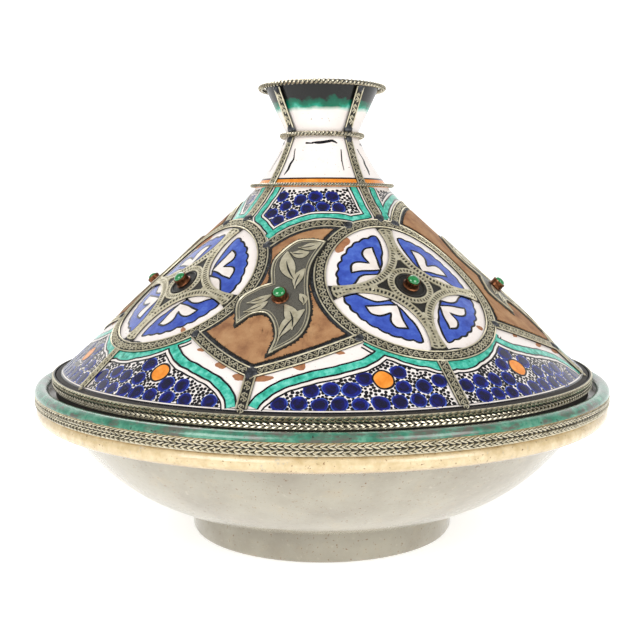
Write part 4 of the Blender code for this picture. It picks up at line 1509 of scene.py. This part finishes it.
def make_braid(name, count, ways, body):
    """Two rows of plaited wire on a dark strip, each row of so many chevrons pointing its way."""
    radius, low, high = ring_extent(name)
    height = high - low
    girth = 2 * pi * radius
    pitch = girth / count
    work = Flatwork(DARK, PALE, BRIGHT)
    path = [Vector((x, 0)) for x in np.linspace(0, girth, 361).tolist()]
    strip(work, path, height, -0.85, DARK, depth=0.8)
    for edge in (-1, 0, 1):
        wire = [(p.x, edge * (height / 2 - 0.25), 0) for p in path]
        work.tube(wire, -0.7, 0.3, PALE if edge else DARK, sides=5)
    for row, way in zip((-1, 1), ways):
        y = row * height / 4
        start = path_mesh([Vector((pitch / 4, y)), Vector((girth - pitch * 0.75, y))], -0.72)
        motif = chevron_motif(way, pitch * 1.25, height / 2 - 0.4)
        work.take(grown(TREES["repeat"], start, motif, BRIGHT, Pitch=pitch * 0.9999), BRIGHT)
    chart = hoop_chart(radius, (low + high) / 2)
    piece(f"{name}_work", wrapped(work.mesh(name), chart), body, "white_metal", name)


# Putting it together


TREES = {}


def on_the_lid(name, mesh, chart, node_name, slot="white_metal"):
    """Wraps a copy of a mesh on the lid, in the place of a solid."""
    piece(name, wrapped(mesh.copy(), chart), "lid", slot, node_name)


def painted(name, mesh, chart, wobble):
    """Wraps a copy of a painting on the lid, with a hand's wobble."""
    piece(name, wrapped(mesh.copy(), chart, wobble), "lid", "painted_glaze")


def make_medallions(azimuths):
    """Four medallions: painting, ring, star, foot strap and stud."""
    painting, ring, star, foot = paint_medallion(), ring_mesh(), star_mesh(), foot_strap_mesh()
    for number, azimuth in enumerate(azimuths, 1):
        chart = cone_chart(azimuth)
        painted(f"medallion_painting_{number}", painting, chart, 0.35)
        on_the_lid(f"ring_{number}", ring, chart, f"medallion_ring_{number}")
        on_the_lid(f"star_{number}", star, chart, f"medallion_star_{number}")
        on_the_lid(f"foot_strap_{number}", foot, chart, f"medallion_foot_strap_{number}")
        stud_pieces(number, chart, 0, 0, METAL_BED + 0.6)


def strap_at(ring_azimuth, waist_azimuth):
    """Course of one neck strap, as an azimuth at each slant."""
    return lambda slant: strap_azimuth(ring_azimuth, waist_azimuth, slant)


def make_shields(azimuths, waist_azimuths):
    """Four shields between the medallions: painting, arch, vee, leather, leaf and stud."""
    leaf = leaf_mesh()
    for i in range(MEDALLIONS):
        number = i + 1
        turn = 2 * pi if number == MEDALLIONS else 0
        after = azimuths[number % MEDALLIONS] + turn
        waist_after = waist_azimuths[number % MEDALLIONS] + turn
        middle = (azimuths[i] + after) / 2
        half = (after - azimuths[i]) / 2 * cos(LID_SLOPE)
        chart = cone_chart(middle)
        springs = ARCH_SPRINGS[i]
        ends = [(azimuths[i], waist_azimuths[i]), (after, waist_after)]
        straps = [strap_at(ring - middle + NECK_LEAN, waist - middle) for ring, waist in ends]
        painted(f"shield_painting_{number}", paint_shield(half, springs, straps, number), chart, 0.3)
        on_the_lid(f"arch_{number}", arch_mesh(half, springs, number), chart, f"shield_arch_{number}")
        on_the_lid(f"vee_{number}", vee_mesh(half, number), chart, f"shield_vee_{number}")
        leather = leather_mesh(half, springs, number)
        on_the_lid(f"leather_{number}", leather, chart, f"shield_leather_{number}", "leather")
        on_the_lid(f"leaf_{number}", leaf, chart, f"shield_leaf_{number}")
        stud_pieces(number + MEDALLIONS, chart, *LEAF_STUD, METAL_BED + 1.75)


def make_straps(azimuths, waist_azimuths):
    """Straps up the neck and the knob, and the strokes between them."""
    neck = strap_mesh(RING_SLANT + RING_RADIUS, LID_SLANT - 2.4, STRAP_WIDTH)
    knob = strap_mesh(2.6, KNOB_SLANT - 3.0, STRAP_WIDTH)
    for i in range(MEDALLIONS):
        chart = strap_chart(on_lid, strap_at(azimuths[i] + NECK_LEAN, waist_azimuths[i]))
        on_the_lid(f"strap_{i + 1}", neck, chart, f"neck_strap_{i + 1}")
        turn = FIRST_KNOB_STRAP + 2 * pi / MEDALLIONS * i
        chart = strap_chart(on_knob, lambda slant, turn=turn: turn)
        on_the_lid(f"knob_band_{i + 1}", knob, chart, f"knob_strap_{i + 1}")
        paint_neck(i)


def make_object():
    """Every piece of the pot."""
    make_materials()
    TREES["repeat"] = repeat_tree()
    TREES["scatter"] = scatter_tree()
    make_bowl()
    make_lid()
    azimuths = [FIRST_MEDALLION + (2 * pi - FRONT_SPACING) / 3 * i for i in range(MEDALLIONS)]
    waist_azimuths = [FIRST_STRAP + (2 * pi - FRONT_STRAPS) / 3 * i for i in range(MEDALLIONS)]
    make_medallions(azimuths)
    make_shields(azimuths, waist_azimuths)
    make_straps(azimuths, waist_azimuths)
    make_neck_bands()
    for name, pitch in (("collar_ring", 3.4), ("waist_ring", 4.6), ("knob_rim_ring", 5.2)):
        make_rope(name, pitch)
    make_braid("lid_braid", 304, (-1, 1), "lid")
    make_braid("bowl_braid", 324, (1, 1), "bowl")


def area_light(name, size, power, place):
    """Soft square lamp aimed at the pot."""
    data = bpy.data.lights.new(name, "AREA")
    data.size = size
    data.energy = power
    light = bpy.data.objects.new(name, data)
    bpy.context.scene.collection.objects.link(light)
    light.location = place
    light.rotation_euler = (POT_MIDDLE - Vector(place)).to_track_quat("-Z", "Y").to_euler()


def board_finish(tree):
    """White with a trace of cloudiness."""
    return {"Base Color": mixed(tree, patches(tree, 60, 2), "F4F4F3", "F8F8F7")}


def make_studio():
    """White board that sweeps up behind the pot, with three soft lamps."""
    glow = {"Emission_Color": (1, 1, 1, 1), "Emission_Strength": 0.5}
    finish("matt_white_board", board_finish, Roughness=0.9, **glow)
    bm = bmesh.new()
    sweep = [(-3.0, 0.0), (1.6, 0.0)]
    sweep += [(1.6 + 1.2 * sin(a), 1.2 - 1.2 * cos(a)) for a in np.linspace(0.1, pi / 2, 16).tolist()]
    sweep += [(2.8, 4.0)]
    rows = [[bm.verts.new((x, y, z)) for x in (-5.0, 5.0)] for y, z in sweep]
    for a, b in zip(rows, rows[1:]):
        bm.faces.new((a[0], a[1], b[1], b[0]))
    mesh = bpy.data.meshes.new("board")
    bm.to_mesh(mesh)
    bm.free()
    mesh.shade_smooth()
    mesh.materials.append(MATERIALS["matt_white_board"])
    board = bpy.data.objects.new("board", mesh)
    bpy.context.scene.collection.objects.link(board)
    world = bpy.data.worlds.new("studio")
    world.use_nodes = True
    world.node_tree.nodes["Background"].inputs["Color"].default_value = (1, 1, 1, 1)
    world.node_tree.nodes["Background"].inputs["Strength"].default_value = 0.42
    bpy.context.scene.world = world
    area_light("front_left", 0.9, 15, (-0.9, -1.2, 0.95))
    area_light("front_right", 0.9, 11.5, (1.0, -1.1, 0.85))
    area_light("behind", 0.8, 5, (-0.2, 1.0, 1.0))


def make_view():
    """Plain view transform, so that white stays white."""
    bpy.context.scene.view_settings.view_transform = "Standard"


def make_camera():
    """Camera a little above the rim, looking slightly down."""
    data = bpy.data.cameras.new("camera")
    data.lens = 55.3
    camera = bpy.data.objects.new("camera", data)
    bpy.context.scene.collection.objects.link(camera)
    camera.location = (-0.0012, -0.580, 0.1848)
    camera.rotation_euler = (radians(90 - 6.23), 0, 0)
    bpy.context.scene.camera = camera


make_object()
make_studio()
make_view()
make_camera()
